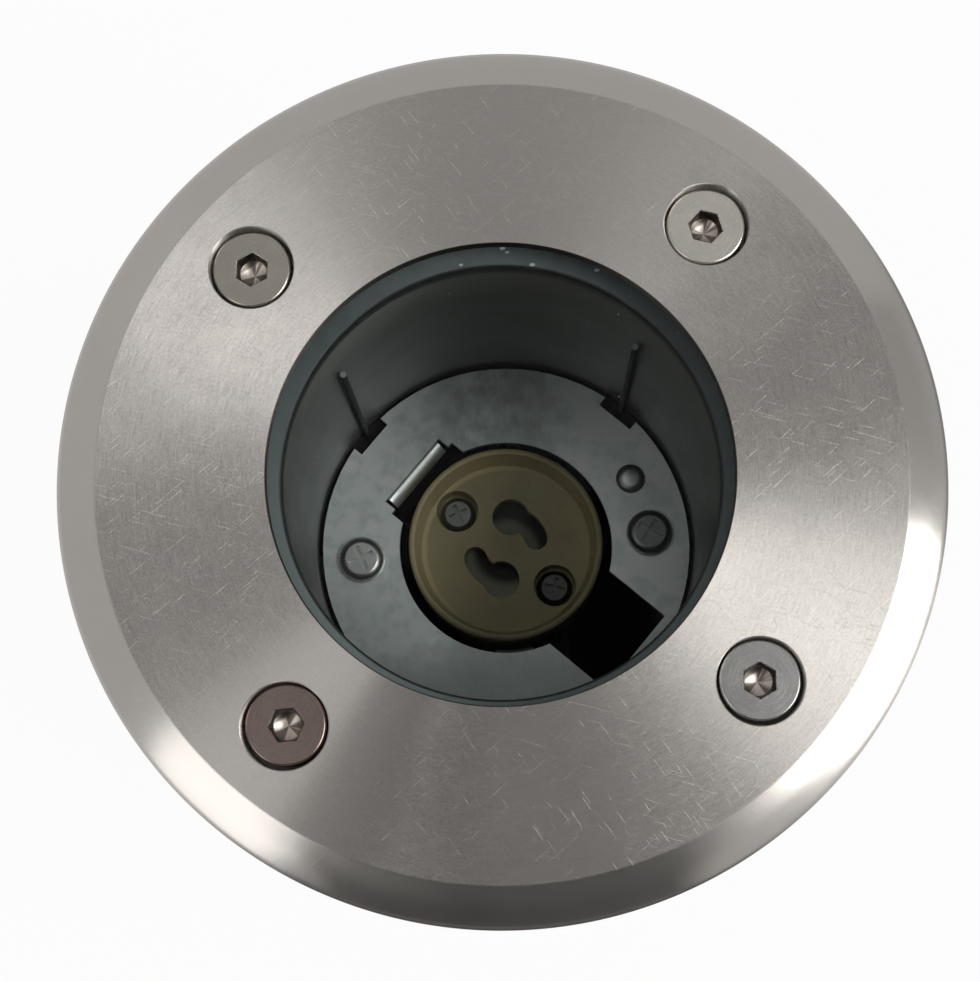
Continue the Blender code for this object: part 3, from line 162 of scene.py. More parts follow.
class Graph:
    """A node tree that is being built."""

    def __init__(self, tree: bpy.types.NodeTree) -> None:
        """Take the tree to build in."""
        self.tree = tree

    def add(
        self,
        kind: str,
        settings: Mapping[str, object] | None = None,
        inputs: Mapping[str | int, object] | None = None,
    ) -> bpy.types.Node:
        """Add a node, set it up and feed its sockets.

        Args:
            kind: The node's type.
            settings: Its properties.
            inputs: The value or the link of each socket, by name or by number.

        Returns:
            The new node.
        """
        node = self.tree.nodes.new(kind)
        for name, value in (settings or {}).items():
            setattr(node, name, value)
        for key, value in (inputs or {}).items():
            self.feed(node.inputs[key], value)
        return node

    def feed(self, socket: Socket, value: object) -> None:
        """Link a wire or a socket to an input, or set the input's own value.

        Args:
            socket: The input.
            value: What it takes.
        """
        if isinstance(value, Wire):
            self.tree.links.new(value.socket, socket)
        elif isinstance(value, Socket):
            self.tree.links.new(value, socket)
        else:
            socket.default_value = value

    def math(self, operation: str, *values: Wire | float) -> Wire:
        """Add a Math node.

        Args:
            operation: The Math node's operation.
            values: What its sockets take, in order.

        Returns:
            The node's result.
        """
        node = self.add("ShaderNodeMath", {"operation": operation}, dict(enumerate(values)))
        return Wire(self, node.outputs[0])

    def surface_point(self) -> "Place":
        """Return the surface point on the object's own coordinates, in millimetres."""
        coordinates = self.add("ShaderNodeTexCoord").outputs["Object"]
        inputs = {0: coordinates, "Scale": 1.0 / MILLIMETRE}
        scaled = self.add("ShaderNodeVectorMath", {"operation": "SCALE"}, inputs)
        parts = self.add("ShaderNodeSeparateXYZ", None, {0: scaled.outputs[0]})
        return Place(self, *(Wire(self, output) for output in parts.outputs))

    def vector(self, x: Wire | float, y: Wire | float, z: Wire | float) -> Socket:
        """Combine three values into a vector."""
        return self.add("ShaderNodeCombineXYZ", None, {0: x, 1: y, 2: z}).outputs[0]

    def noise(self, vector: Socket, grain: Grain) -> Wire:
        """Return smooth noise from 0 to 1 at a vector."""
        inputs = {
            "Vector": vector,
            "Scale": grain.fineness,
            "Detail": grain.octaves,
            "Roughness": grain.roughness,
        }
        return Wire(self, self.add("ShaderNodeTexNoise", None, inputs).outputs[0])

    def blend(self, share: Wire, low: object, high: object) -> Socket:
        """Mix two colours by a share."""
        inputs = {0: share, 6: as_colour(low), 7: as_colour(high)}
        return self.add("ShaderNodeMix", {"data_type": "RGBA"}, inputs).outputs[2]

    def ray(self, kind: str) -> Wire:
        """Return whether a ray is of a kind, as the Light Path node names it."""
        return Wire(self, self.add("ShaderNodeLightPath").outputs[f"Is {kind} Ray"])


@dataclass(frozen=True)
class Place:
    """A surface point in millimetres, as three wires."""

    graph: Graph
    x: Wire
    y: Wire
    z: Wire

    def vector(self, stretch: Triple = EVEN) -> Socket:
        """Return the point with each direction stretched by a factor."""
        return self.graph.vector(self.x * stretch[0], self.y * stretch[1], self.z * stretch[2])

    def about(self, middle: Span) -> "Place":
        """Return the point as it lies from a vertical line."""
        return Place(self.graph, self.x - middle[0], self.y - middle[1], self.z)

    def radius(self) -> Wire:
        """Return the distance from the axis."""
        return (self.x ** 2.0 + self.y ** 2.0) ** 0.5

    def turn(self) -> Wire:
        """Return the angle about the axis, in radians."""
        return self.y.math("ARCTAN2", self.x)

    def toward(self, bearing: float) -> Wire:
        """Return how far the point lies towards a bearing, in degrees, from the axis."""
        angle = math.radians(bearing)
        return self.x * math.cos(angle) + self.y * math.sin(angle)

    def facing(self, bearing: float, edge: Span) -> Wire:
        """Return a share that eases in over cosines of the angle between the point and a bearing."""
        return (self.toward(bearing) / self.radius()).rise(edge)


class Channel(Enum):
    """What a coat may vary over the surface."""

    COLOUR = "Base Color"
    ROUGHNESS = "Roughness"
    METALLIC = "Metallic"
    NORMAL = "Normal"


class Coat(Graph):
    """A material's node tree while its finish is painted."""

    def __init__(self, name: str) -> None:
        """Open a new material under a name."""
        self.material = bpy.data.materials.new(name)
        self.material.use_nodes = True
        super().__init__(self.material.node_tree)
        self.shader = self.tree.nodes["Principled BSDF"]
        self.place = self.surface_point()

    def paint(self, channel: Channel, value: object) -> None:
        """Give a channel its value or its link."""
        self.feed(self.shader.inputs[channel.value], value)

    def cover(self, channel: Channel, share: Wire, value: Colour | float) -> None:
        """Blend what a channel has now towards a value.

        Args:
            channel: The channel.
            share: How far it goes towards the value, from 0 to 1.
            value: The colour or the number.
        """
        socket = self.shader.inputs[channel.value]
        now = socket.links[0].from_socket if socket.is_linked else socket.default_value
        if isinstance(value, tuple):
            self.feed(socket, self.blend(share, now if socket.is_linked else tuple(now)[:3], value))
        else:
            start = Wire(self, now) if socket.is_linked else now
            self.feed(socket, start + share * (value - start))

    def tint(self, share: Wire, colour: Colour) -> None:
        """Blend the base colour towards another, where a share says so."""
        self.cover(Channel.COLOUR, share, colour)

    def emboss(self, height: Wire, relief: Span) -> None:
        """Raise the surface by a height, with the relief's depth in millimetres and its strength."""
        depth, strength = relief
        inputs = {"Strength": strength, "Distance": depth * MILLIMETRE, "Height": height}
        self.paint(Channel.NORMAL, self.add("ShaderNodeBump", None, inputs).outputs[0])

    def grain(self, grain: Grain) -> Wire:
        """Return noise at the surface point."""
        return self.noise(self.place.vector(grain.stretch), grain)

    def specks(self, specks: Specks) -> Wire:
        """Return one inside spots strewn over the surface and zero between them."""
        inputs = {"Vector": self.place.vector(specks.stretch), "Scale": specks.fineness}
        cells = self.add("ShaderNodeTexVoronoi", {"feature": "F1"}, inputs)
        return Wire(self, cells.outputs["Distance"]).fall(specks.fade)

    def mix(self, share: Wire, low: Socket, high: Socket) -> Socket:
        """Mix two shaders by a share."""
        return self.add("ShaderNodeMixShader", None, {0: share, 1: low, 2: high}).outputs[0]

    def show(self, surface: Socket) -> None:
        """Let a shader be the material's surface."""
        self.feed(self.tree.nodes["Material Output"].inputs["Surface"], surface)


def as_colour(value: object) -> object:
    """Give a colour its fourth number, and leave a socket as it is."""
    return value if isinstance(value, Socket) else (*value, 1.0)


def weighed(parts: Sequence[Wire], shares: Sequence[float]) -> Wire:
    """Return the sum of parts, each times its share."""
    first, *others = (part * share for part, share in zip(parts, shares))
    return sum(others, first)


@dataclass(frozen=True)
class Finish:
    """A surface with one body colour; each kind of finish adds its own detail."""

    name: str
    colour: Colour
    roughness: float = 0.5
    metallic: float = 0.0
    shades: Span = (0.8, 1.2)
    swing: float = 0.2
    relief: Span = (0.03, 0.4)

    def make(self) -> bpy.types.Material:
        """Return the finish as a material."""
        coat = Coat(self.name)
        coat.paint(Channel.COLOUR, (*self.colour, 1.0))
        coat.paint(Channel.ROUGHNESS, self.roughness)
        coat.paint(Channel.METALLIC, self.metallic)
        self.detail(coat)
        return coat.material

    def detail(self, coat: Coat) -> None:
        """Paint what varies over the surface; each kind of finish does this in its own way.

        Args:
            coat: The material.
        """

    def lay(self, coat: Coat, tone: Wire, gloss: Wire, height: Wire) -> None:
        """Lay the body coat.

        Args:
            coat: The material.
            tone: Where the colour runs from its dark to its light shade.
            gloss: Where the roughness swings about its middle value.
            height: The relief's height, in shares of its depth.
        """
        coat.paint(Channel.COLOUR, self.between(coat, tone, self.shades))
        coat.paint(Channel.ROUGHNESS, self.roughness + (gloss - HALF) * self.swing)
        coat.emboss(height, self.relief)

    def between(self, coat: Coat, share: Wire, shades: Span) -> Socket:
        """Return a colour between a dark and a light shade."""
        return coat.blend(share, self.shade(shades[0]), self.shade(shades[1]))

    def shade(self, factor: float) -> Colour:
        """Return the colour made darker or lighter by a factor."""
        red, green, blue = self.colour
        return (red * factor, green * factor, blue * factor)


@dataclass(frozen=True)
class PaintedLightPatch:
    """A part of the face painted lighter or darker to stand in for its reflection: its bearing, its cosine
    edge and its shade.
    """

    bearing: float
    edge: Span
    shade: float


@dataclass(frozen=True)
class BrushedFace(Finish):
    """Short brush strokes that run round the face, scratched by handling, inside a polished bevel."""

    shades: Span = (0.75, 1.22)
    relief: Span = (0.035, 0.6)
    bevel_start: Span = (49.60, 49.95)
    bevel_shades: Span = (1.20, 1.42)
    bevel_roughness: float = 0.24
    bevel_relief: float = 0.12
    bevel_swings: Span = (0.12, 0.05)
    # Painted shade on the window lip.
    lip_end: Span = (28.82, 28.94)
    lip_painted_shading: float = 0.12
    dots: Grain = Grain(3.0, 2.0, 0.7)
    smudge: Grain = Grain(0.09, 4.0, 0.6)
    stroke: Grain = Grain(1.0, 4.0, 0.65)
    strokes_across: float = 5.5
    strokes_round: float = 14.0
    drift: float = 0.10
    drift_by_slant: float = 0.001
    drift_octaves: float = 2.0
    sway: float = 2.2
    slants: Triple = (0.0, 26.0, -30.0)
    slant_shares: Triple = (0.5, 0.25, 0.25)
    tone_shares: Triple = (0.55, 0.25, 0.20)
    tone_edge: Span = (0.34, 0.66)
    flat_swings: Span = (0.35, 0.12)
    scratch: Grain = Grain(1.0, 2.0)
    scratch_turns: Triple = (0.62, -0.35, 2.1)
    scratch_along: float = 0.22
    scratch_across: float = 4.5
    scratch_edge: Span = (0.66, 0.74)
    scratch_share: float = 0.30
    scratch_shade: float = 1.45
    scratch_height: float = 0.3
    # Patches by bearing, painted lighter or darker, stand in for the reflections on the face.
    painted_light_share: float = 0.6
    painted_light: tuple[PaintedLightPatch, ...] = (
        PaintedLightPatch(88.0, (0.55, 1.0), 1.45),
        PaintedLightPatch(277.0, (0.93, 1.0), 1.25),
        PaintedLightPatch(224.0, (0.965, 1.0), 1.30),
        PaintedLightPatch(241.0, (0.985, 1.0), 0.62),
    )
    anisotropy: float = 0.92
    anisotropy_turn: float = 0.25

    def strokes(self, coat: Coat, slant: float) -> Wire:
        """Return strokes that run round the axis, drifting outwards by a slant as they go."""
        turn = coat.place.turn()
        drift = coat.grain(Grain(self.drift + abs(slant) * self.drift_by_slant, self.drift_octaves))
        across = coat.place.radius() * self.strokes_across + drift * self.sway + turn * slant
        return coat.noise(coat.vector(across, turn * self.strokes_round, 0.0), self.stroke)

    def scratches(self, coat: Coat, turn: float) -> Wire:
        """Return thin straight scratches across the face at an angle in radians."""
        place = coat.place
        along = place.x * math.cos(turn) + place.y * math.sin(turn)
        across = place.y * math.cos(turn) - place.x * math.sin(turn)
        vector = coat.vector(along * self.scratch_along, across * self.scratch_across, turn)
        return coat.noise(vector, self.scratch).rise(self.scratch_edge)

    def detail(self, coat: Coat) -> None:
        """Paint the brushing, the scratches and the bevel, with painted reflection by bearing and painted
        shade on the window lip.
        """
        radius = coat.place.radius()
        flat = radius.fall(self.bevel_start)
        brushed = weighed([self.strokes(coat, slant) for slant in self.slants], self.slant_shares)
        dots = coat.grain(self.dots)
        smudge = coat.grain(self.smudge)
        marks = weighed([self.scratches(coat, turn) for turn in self.scratch_turns], EVEN)
        tone = weighed((brushed, dots, smudge), self.tone_shares).rise(self.tone_edge)
        brushing = self.between(coat, tone, self.shades)
        scratched = coat.blend(marks * self.scratch_share, brushing, self.shade(self.scratch_shade))
        polish = self.between(coat, (dots + smudge) * HALF, self.bevel_shades)
        coat.paint(Channel.COLOUR, coat.blend(flat, polish, scratched))
        # Painted reflection: the face is made lighter or darker by bearing.
        for patch in self.painted_light:
            share = flat * coat.place.facing(patch.bearing, patch.edge) * self.painted_light_share
            coat.tint(share, self.shade(patch.shade))
        # Painted shade on the window lip.
        coat.tint(radius.fall(self.lip_end), self.shade(self.lip_painted_shading))
        swings = (brushed - HALF, smudge - HALF)
        rough = self.roughness + weighed(swings, self.flat_swings)
        swings = (smudge - HALF, dots - HALF)
        gloss = self.bevel_roughness + weighed(swings, self.bevel_swings)
        coat.paint(Channel.ROUGHNESS, gloss + flat * (rough - gloss))
        depth = self.bevel_relief + flat * (1.0 - self.bevel_relief)
        coat.emboss((brushed + marks * self.scratch_height) * depth, self.relief)
        coat.shader.inputs["Anisotropic"].default_value = self.anisotropy
        coat.shader.inputs["Anisotropic Rotation"].default_value = self.anisotropy_turn


@dataclass(frozen=True)
class TurnedSteel(Finish):
    """Steel turned in a lathe, with a cut thread below its head."""

    shades: Span = (0.72, 1.18)
    swing: float = 0.16
    relief: Span = (1.0, 0.6)
    middle: Span = (0.0, 0.0)
    marks: Grain = Grain(1.0, 4.0, 0.7)
    mark_stretch: Triple = (7.0, 0.6, 0.4)
    mark_height: float = 0.02
    stains: Grain = Grain(0.5)
    spots: Specks = Specks(0.9, (0.05, 0.12))
    spot_share: float = 0.4
    spot_shade: float = 1.5
    thread_top: float = 0.0
    thread_edge: Span = (-0.3, 0.0)
    pitch: float = 1.0
    depth_by_pitch: float = 0.5

    def detail(self, coat: Coat) -> None:
        """Paint the turning marks, and the thread below the head."""
        place = coat.place.about(self.middle)
        turn = place.turn()
        across, along, up = self.mark_stretch
        marks = coat.noise(coat.vector(place.radius() * across, turn * along, place.z * up), self.marks)
        helix = (place.z / self.pitch - turn / math.tau).math("FRACT")
        groove = (helix - HALF).size() / HALF
        shank = place.z.fall(self.thread_edge, self.thread_top)
        height = marks * self.mark_height + groove * shank * (self.depth_by_pitch * self.pitch)
        self.lay(coat, (marks + coat.grain(self.stains)) * HALF, marks, height)
        coat.tint(coat.specks(self.spots) * self.spot_share, self.shade(self.spot_shade))


@dataclass(frozen=True)
class SocketSteel(TurnedSteel):
    """A turned head whose broached socket has painted shade on its walls and a painted highlight on its
    drill point.
    """

    head_top: float = 0.0
    socket_floor: float = 0.0
    socket_radius: float = 2.2
    socket_fade: Span = (0.15, 0.20)
    # Painted shade on the socket's walls and a painted highlight on its drill point.
    wall_shade_colour: Colour = (0.16, 0.14, 0.12)
    wall_top: Span = (-0.16, -0.11)
    point_highlight_colour: Colour = (0.80, 0.71, 0.63)
    point_roughness: float = 0.36
    point_share: float = 0.79
    point_fade: Span = (-0.06, 0.0)
    point_top: Span = (-0.01, 0.06)
    shadow_colour: Colour = (0.24, 0.20, 0.17)
    shadow_bearing: float = 118.0
    shadow_edge: Span = (0.85, 1.25)
    # Noise that places painted shadow lines across the drill point.
    facets: Grain = Grain(1.7, 1.0)
    facet_edge: Span = (0.40, 0.54)
    burrs: Specks = Specks(2.2, (0.10, 0.25))
    burr_fade: Span = (0.1, 0.7)
    burr_share: float = 0.55
    burr_shade: float = 1.7
    # A painted highlight round the socket's mouth.
    lip_foot: Span = (-0.14, -0.10)
    lip_top: Span = (-0.02, -0.01)
    lip_painted_shading: float = 1.9

    def detail(self, coat: Coat) -> None:
        """Paint the head, then the painted shade and painted highlight in its socket, and the burrs round
        it.
        """
        super().detail(coat)
        place = coat.place.about(self.middle)
        radius = place.radius()
        inside = radius.fall(self.socket_fade, self.socket_radius)
        below = place.z.fall(self.wall_top, self.head_top)
        deep = place.z.fall(self.point_top, self.socket_floor)
        point = inside * deep * radius.fall(self.point_fade, self.socket_radius * self.point_share)
        star = coat.vector(place.x / radius, place.y / radius, self.middle[0])
        dull = coat.noise(star, self.facets).fall(self.facet_edge)
        shadow = point * place.toward(self.shadow_bearing).rise(self.shadow_edge)
        # Painted shade on the walls, a painted highlight on the drill point with painted shadow lines
        # across it, and a painted shadow on one side.
        coat.tint(inside * below, self.wall_shade_colour)
        coat.tint(point, self.point_highlight_colour)
        coat.tint(point * dull, self.shadow_colour)
        coat.tint(shadow, self.wall_shade_colour)
        coat.cover(Channel.ROUGHNESS, point, self.point_roughness)
        rim = (radius - self.socket_radius).size().fall(self.burr_fade) * (1.0 - below)
        coat.tint(coat.specks(self.burrs) * rim * self.burr_share, self.shade(self.burr_shade))
        # A painted highlight round the socket's mouth.
        lip = place.z.rise(self.lip_foot, self.head_top) * place.z.fall(self.lip_top, self.head_top)
        coat.tint(inside * lip, self.shade(self.lip_painted_shading))


@dataclass(frozen=True)
class ClearGlass(Finish):
    """Clear glass: its gloss comes from Fresnel's law, and what lies below shows through."""

    index: float = 1.5
    veil: float = 0.12
    dust: Specks = Specks(0.30, (0.016, 0.032))
    dust_share: float = 0.45

    def detail(self, coat: Coat) -> None:
        """Mix the surface's gloss with the clear body of the glass, and dust it."""
        clear = coat.add("ShaderNodeBsdfTransparent", None, {"Color": (*self.colour, 1.0)})
        coat.paint(Channel.COLOUR, WHITE)
        coat.paint(Channel.METALLIC, METAL)
        gloss = Wire(coat, coat.add("ShaderNodeFresnel", None, {"IOR": self.index}).outputs[0])
        share = gloss * self.veil + coat.specks(self.dust) * self.dust_share
        coat.show(coat.mix(share, clear.outputs[0], coat.shader.outputs[0]))


@dataclass(frozen=True)
class Silicone(Finish):
    """Moulded silicone with a little flash and dust along it, with painted shade round its bore and painted
    light on one side.
    """

    shades: Span = (0.7, 1.3)
    relief: Span = (0.05, 0.5)
    mould: Grain = Grain(0.7, 4.0, 0.6)
    # Painted shade on the bore's wall.
    bore_radius: float = 27.90
    bore_fade: Span = (-0.1, 0.1)
    bore_painted_shade: float = 0.12
    flecks: Specks = Specks(0.42, (0.10, 0.20), (1.0, 1.6, 1.0))
    fleck_colour: Colour = (0.75, 0.78, 0.80)
    fleck_share: float = 0.8
    fleck_bearing: float = 80.0
    fleck_fade: Span = (0.385, 0.55)
    # Painted light on one side.
    lit_bearing: float = 240.0
    lit_edge: Span = (-0.3, 0.8)
    lit_share: float = 0.7
    lit_shade: float = 1.9

    def detail(self, coat: Coat) -> None:
        """Paint pale flecks on a soft surface, with painted light on one side and painted shade round the
        bore.
        """
        place = coat.place
        mould = coat.grain(self.mould)
        self.lay(coat, mould, mould, mould)
        # Painted light on one side.
        lit = place.facing(self.lit_bearing, self.lit_edge)
        coat.tint(lit * self.lit_share, self.shade(self.lit_shade))
        crowd = (place.turn() - math.radians(self.fleck_bearing)).size().fall(self.fleck_fade)
        coat.tint(coat.specks(self.flecks) * crowd * self.fleck_share, self.fleck_colour)
        # Painted shade on the bore's wall.
        coat.tint(place.radius().fall(self.bore_fade, self.bore_radius), self.shade(self.bore_painted_shade))


@dataclass(frozen=True)
class Casting(Finish):
    """A dark satin coat over a cast surface, with a painted highlight on one side of the bore and painted
    shade in the wiring space.
    """

    shades: Span = (0.75, 1.25)
    relief: Span = (0.04, 0.45)
    peel: Grain = Grain(1.6)
    cloud: Grain = Grain(0.12, 4.0)
    bore_radius: float = 29.6
    bore_fade: Span = (0.0, 0.2)
    # A painted highlight on one side of the bore.
    sheen_bearing: float = 130.0
    sheen_edge: Span = (0.86, 1.0)
    sheen_share: float = 0.85
    sheen_shade: float = 1.9
    # Painted shade in the wiring space below the plate.
    wiring_shade_foot: Span = (39.0, 40.0)
    wiring_shade_top: Span = (80.0, 81.0)
    wiring_shade_factor: float = 0.15
    wiring_shade_roughness: float = 0.8

    def detail(self, coat: Coat) -> None:
        """Paint the coat's orange peel and its uneven gloss, then the painted highlight and the painted
        shade in the wiring space.
        """
        place = coat.place
        cloud = coat.grain(self.cloud)
        self.lay(coat, cloud, cloud, coat.grain(self.peel))
        inside = place.radius().fall(self.bore_fade, self.bore_radius)
        # A painted highlight on one side of the bore.
        pale = place.facing(self.sheen_bearing, self.sheen_edge) * self.sheen_share
        coat.tint(inside * pale, self.shade(self.sheen_shade))
        # Painted shade in the wiring space, which is made rougher too.
        black = inside * place.z.fall(self.wiring_shade_top) * place.z.rise(self.wiring_shade_foot)
        coat.tint(black, self.shade(self.wiring_shade_factor))
        coat.cover(Channel.ROUGHNESS, black, self.wiring_shade_roughness)


@dataclass(frozen=True)
class ZincPlate(Finish):
    """Zinc plating on rolled sheet, mottled by handling."""

    shades: Span = (0.62, 1.25)
    swing: float = 0.35
    mottle: Grain = Grain(0.45, 6.0, 0.62)
    rolling: Grain = Grain(1.0, 3.0, 0.6, (5.0, 0.35, 1.0))
    tone_shares: Span = (0.75, 0.25)
    tone_edge: Span = (0.25, 0.75)
    height_shares: Span = (0.6, 0.4)
    stain: Grain = Grain(0.11)
    stain_edge: Span = (0.35, 0.75)
    stain_share: float = 0.6
    stain_shade: float = 0.72

    def detail(self, coat: Coat) -> None:
        """Paint the mottling, the rolling lines and a few marks."""
        mottle = coat.grain(self.mottle)
        both = (mottle, coat.grain(self.rolling))
        tone = weighed(both, self.tone_shares).rise(self.tone_edge)
        self.lay(coat, tone, mottle, weighed(both, self.height_shares))
        stain = coat.grain(self.stain).rise(self.stain_edge)
        coat.tint(stain * self.stain_share, self.shade(self.stain_shade))


@dataclass(frozen=True)
class BentZinc(ZincPlate):
    """Zinc plating burnished over the tongue's bend with a painted highlight, and painted shade on the leg
    below it.
    """

    bearing: float = 135.0
    bar_near: Span = (17.1, 17.4)
    bar_far: Span = (18.75, 19.05)
    bar_side: Span = (3.8, 4.2)
    # The bar's lighter colour is a painted highlight over the burnished bend.
    bar_highlight_colour: Colour = (0.92, 0.92, 0.90)
    bar_roughness: float = 0.50
    leg_top: Span = (79.8, 80.2)
    # Painted shade on the leg.
    leg_shade_colour: Colour = (0.02, 0.02, 0.02)
    # Painted light to both sides and painted shade towards the foot.
    lit_side_edge: Span = (5.0, 14.0)
    lit_side_shade: float = 1.30
    foot_edge: Span = (-21.0, -12.0)
    foot_share: float = 0.6
    foot_painted_shade: float = 0.55
    patches: Grain = Grain(0.35, 5.0, 0.6)
    patch_edge: Span = (0.62, 0.38)
    patch_shares: Span = (0.45, 0.9)

    def detail(self, coat: Coat) -> None:
        """Paint the sheet with painted light to both sides and painted shade towards its foot, then the
        painted highlight on the bend and the painted shade on the leg.
        """
        super().detail(coat)
        place = coat.place
        patches = coat.grain(self.patches).rise(self.patch_edge, 0.0, *self.patch_shares)
        # Painted light to both sides, and painted shade towards the foot.
        coat.tint(place.x.size().rise(self.lit_side_edge) * patches, self.shade(self.lit_side_shade))
        coat.tint(place.y.fall(self.foot_edge) * self.foot_share, self.shade(self.foot_painted_shade))
        out = place.toward(self.bearing)
        side = place.toward(self.bearing + QUARTER_TURN).size()
        leg = place.z.fall(self.leg_top)
        bar = out.rise(self.bar_near) * out.fall(self.bar_far) * side.fall(self.bar_side) * (1.0 - leg)
        # Painted shade on the leg, then a painted highlight on the burnished bend.
        coat.tint(leg, self.leg_shade_colour)
        coat.tint(bar, self.bar_highlight_colour)
        coat.cover(Channel.ROUGHNESS, bar, self.bar_roughness)
        coat.cover(Channel.METALLIC, bar, METAL)


@dataclass(frozen=True)
class RivetHead(ZincPlate):
    """A rivet's head, bright on its crown, with painted shade on its flanks round it."""

    middle: Span = (20.47, 8.86)
    crown_edge: Span = (1.05, 1.55)
    # Painted shade on the flanks round the crown.
    flank_shade_share: float = 0.9
    flank_shade_factor: float = 0.22

    def detail(self, coat: Coat) -> None:
        """Paint the plating, then the painted shade on the flanks round the crown."""
        super().detail(coat)
        edge = coat.place.about(self.middle).radius().rise(self.crown_edge)
        # Painted shade on the flanks round the crown.
        coat.tint(edge * self.flank_shade_share, self.shade(self.flank_shade_factor))


@dataclass(frozen=True)
class Ceramic(Finish):
    """Unglazed steatite: fine speckle, painted light on the rim on one side and painted shade towards the
    bottom.
    """

    shades: Span = (0.72, 1.28)
    speckle: Grain = Grain(3.2, 3.0, 0.7)
    cloud: Grain = Grain(0.22, 4.0)
    tone_shares: Span = (0.4, 0.6)
    spots: Specks = Specks(0.9, (0.08, 0.20))
    spot_share: float = 0.35
    spot_shade: float = 0.5
    # Painted light on the rim on one side.
    rim_edge: Span = (12.2, 12.7)
    rim_bearing: float = 150.0
    rim_lit: Span = (0.0, 0.9)
    rim_share: float = 0.8
    lit_rim_shade: float = 1.55
    # Painted shade towards the bottom.
    low_edge: Span = (-12.7, -3.81)
    low_share: float = 0.6
    low_painted_shade: float = 0.72

    def detail(self, coat: Coat) -> None:
        """Paint the speckle, the clouds and the pressed surface, then the painted light on the rim and the
        painted shade towards the bottom.
        """
        place = coat.place
        speckle = coat.grain(self.speckle)
        tone = weighed((speckle, coat.grain(self.cloud)), self.tone_shares)
        self.lay(coat, tone, speckle, speckle)
        coat.tint(coat.specks(self.spots) * self.spot_share, self.shade(self.spot_shade))
        # Painted light on one side of the rim.
        lit = place.facing(self.rim_bearing, self.rim_lit) * self.rim_share
        coat.tint(place.radius().rise(self.rim_edge) * lit, self.shade(self.lit_rim_shade))
        # Painted shade towards the bottom.
        coat.tint(place.y.fall(self.low_edge) * self.low_share, self.shade(self.low_painted_shade))


@dataclass(frozen=True)
class DrawnMetal(Finish):
    """Wire, strip or bar metal with faint drawing lines."""

    shades: Span = (0.7, 1.2)
    relief: Span = (0.01, 0.4)
    tarnish: Grain = Grain(0.6, 4.0)
    lines: Grain = Grain(1.0, 2.0, 0.5, (6.0, 6.0, 0.4))
    tone_shares: Span = (0.7, 0.3)

    def detail(self, coat: Coat) -> None:
        """Paint fine lines and some tarnish."""
        tarnish = coat.grain(self.tarnish)
        lines = coat.grain(self.lines)
        self.lay(coat, weighed((tarnish, lines), self.tone_shares), tarnish, lines)


@dataclass(frozen=True)
class ContactStrip(DrawnMetal):
    """Strip metal seen through the pin slots, shaded on the far side of each slot."""

    bearing: float = 45.0
    pin_radius: float = 5.0
    far_edge: Span = (-0.9, 1.1)
    far_shade: float = 0.12

    def detail(self, coat: Coat) -> None:
        """Paint the strip, then its shaded sides."""
        super().detail(coat)
        along = coat.place.toward(self.bearing)
        near = (self.pin_radius - coat.place.radius()) * along.math("SIGN")
        coat.tint(near.fall(self.far_edge), self.shade(self.far_shade))


@dataclass(frozen=True)
class SpringWire(DrawnMetal):
    """Blackened spring wire, cropped bright at its upper end."""

    cut_edge: Span = (119.75, 119.9)
    cut_colour: Colour = (0.30, 0.30, 0.29)

    def detail(self, coat: Coat) -> None:
        """Paint the wire, then its cropped end."""
        super().detail(coat)
        coat.tint(coat.place.z.rise(self.cut_edge), self.cut_colour)


@dataclass(frozen=True)
class Moulded(Finish):
    """Moulded plastic or rubber with a fine spark-eroded texture."""

    swing: float = 0.15
    relief: Span = (0.03, 0.5)
    texture: Grain = Grain(3.0, 2.0, 0.6)
    cloud: Grain = Grain(0.08, 4.0)
    scuffs: Grain = Grain(0.5, 4.0, 0.7, (0.4, 0.4, 3.0))
    scuff_edge: Span = (0.62, 0.78)
    scuff_share: float = 0.25
    scuff_shade: float = 1.9
    scuff_gloss: float = 0.5333

    def detail(self, coat: Coat) -> None:
        """Paint the texture and a few scuffs."""
        texture = coat.grain(self.texture)
        scuffs = coat.grain(self.scuffs).rise(self.scuff_edge)
        self.lay(coat, coat.grain(self.cloud), texture + scuffs * self.scuff_gloss, texture)
        coat.tint(scuffs * self.scuff_share, self.shade(self.scuff_shade))


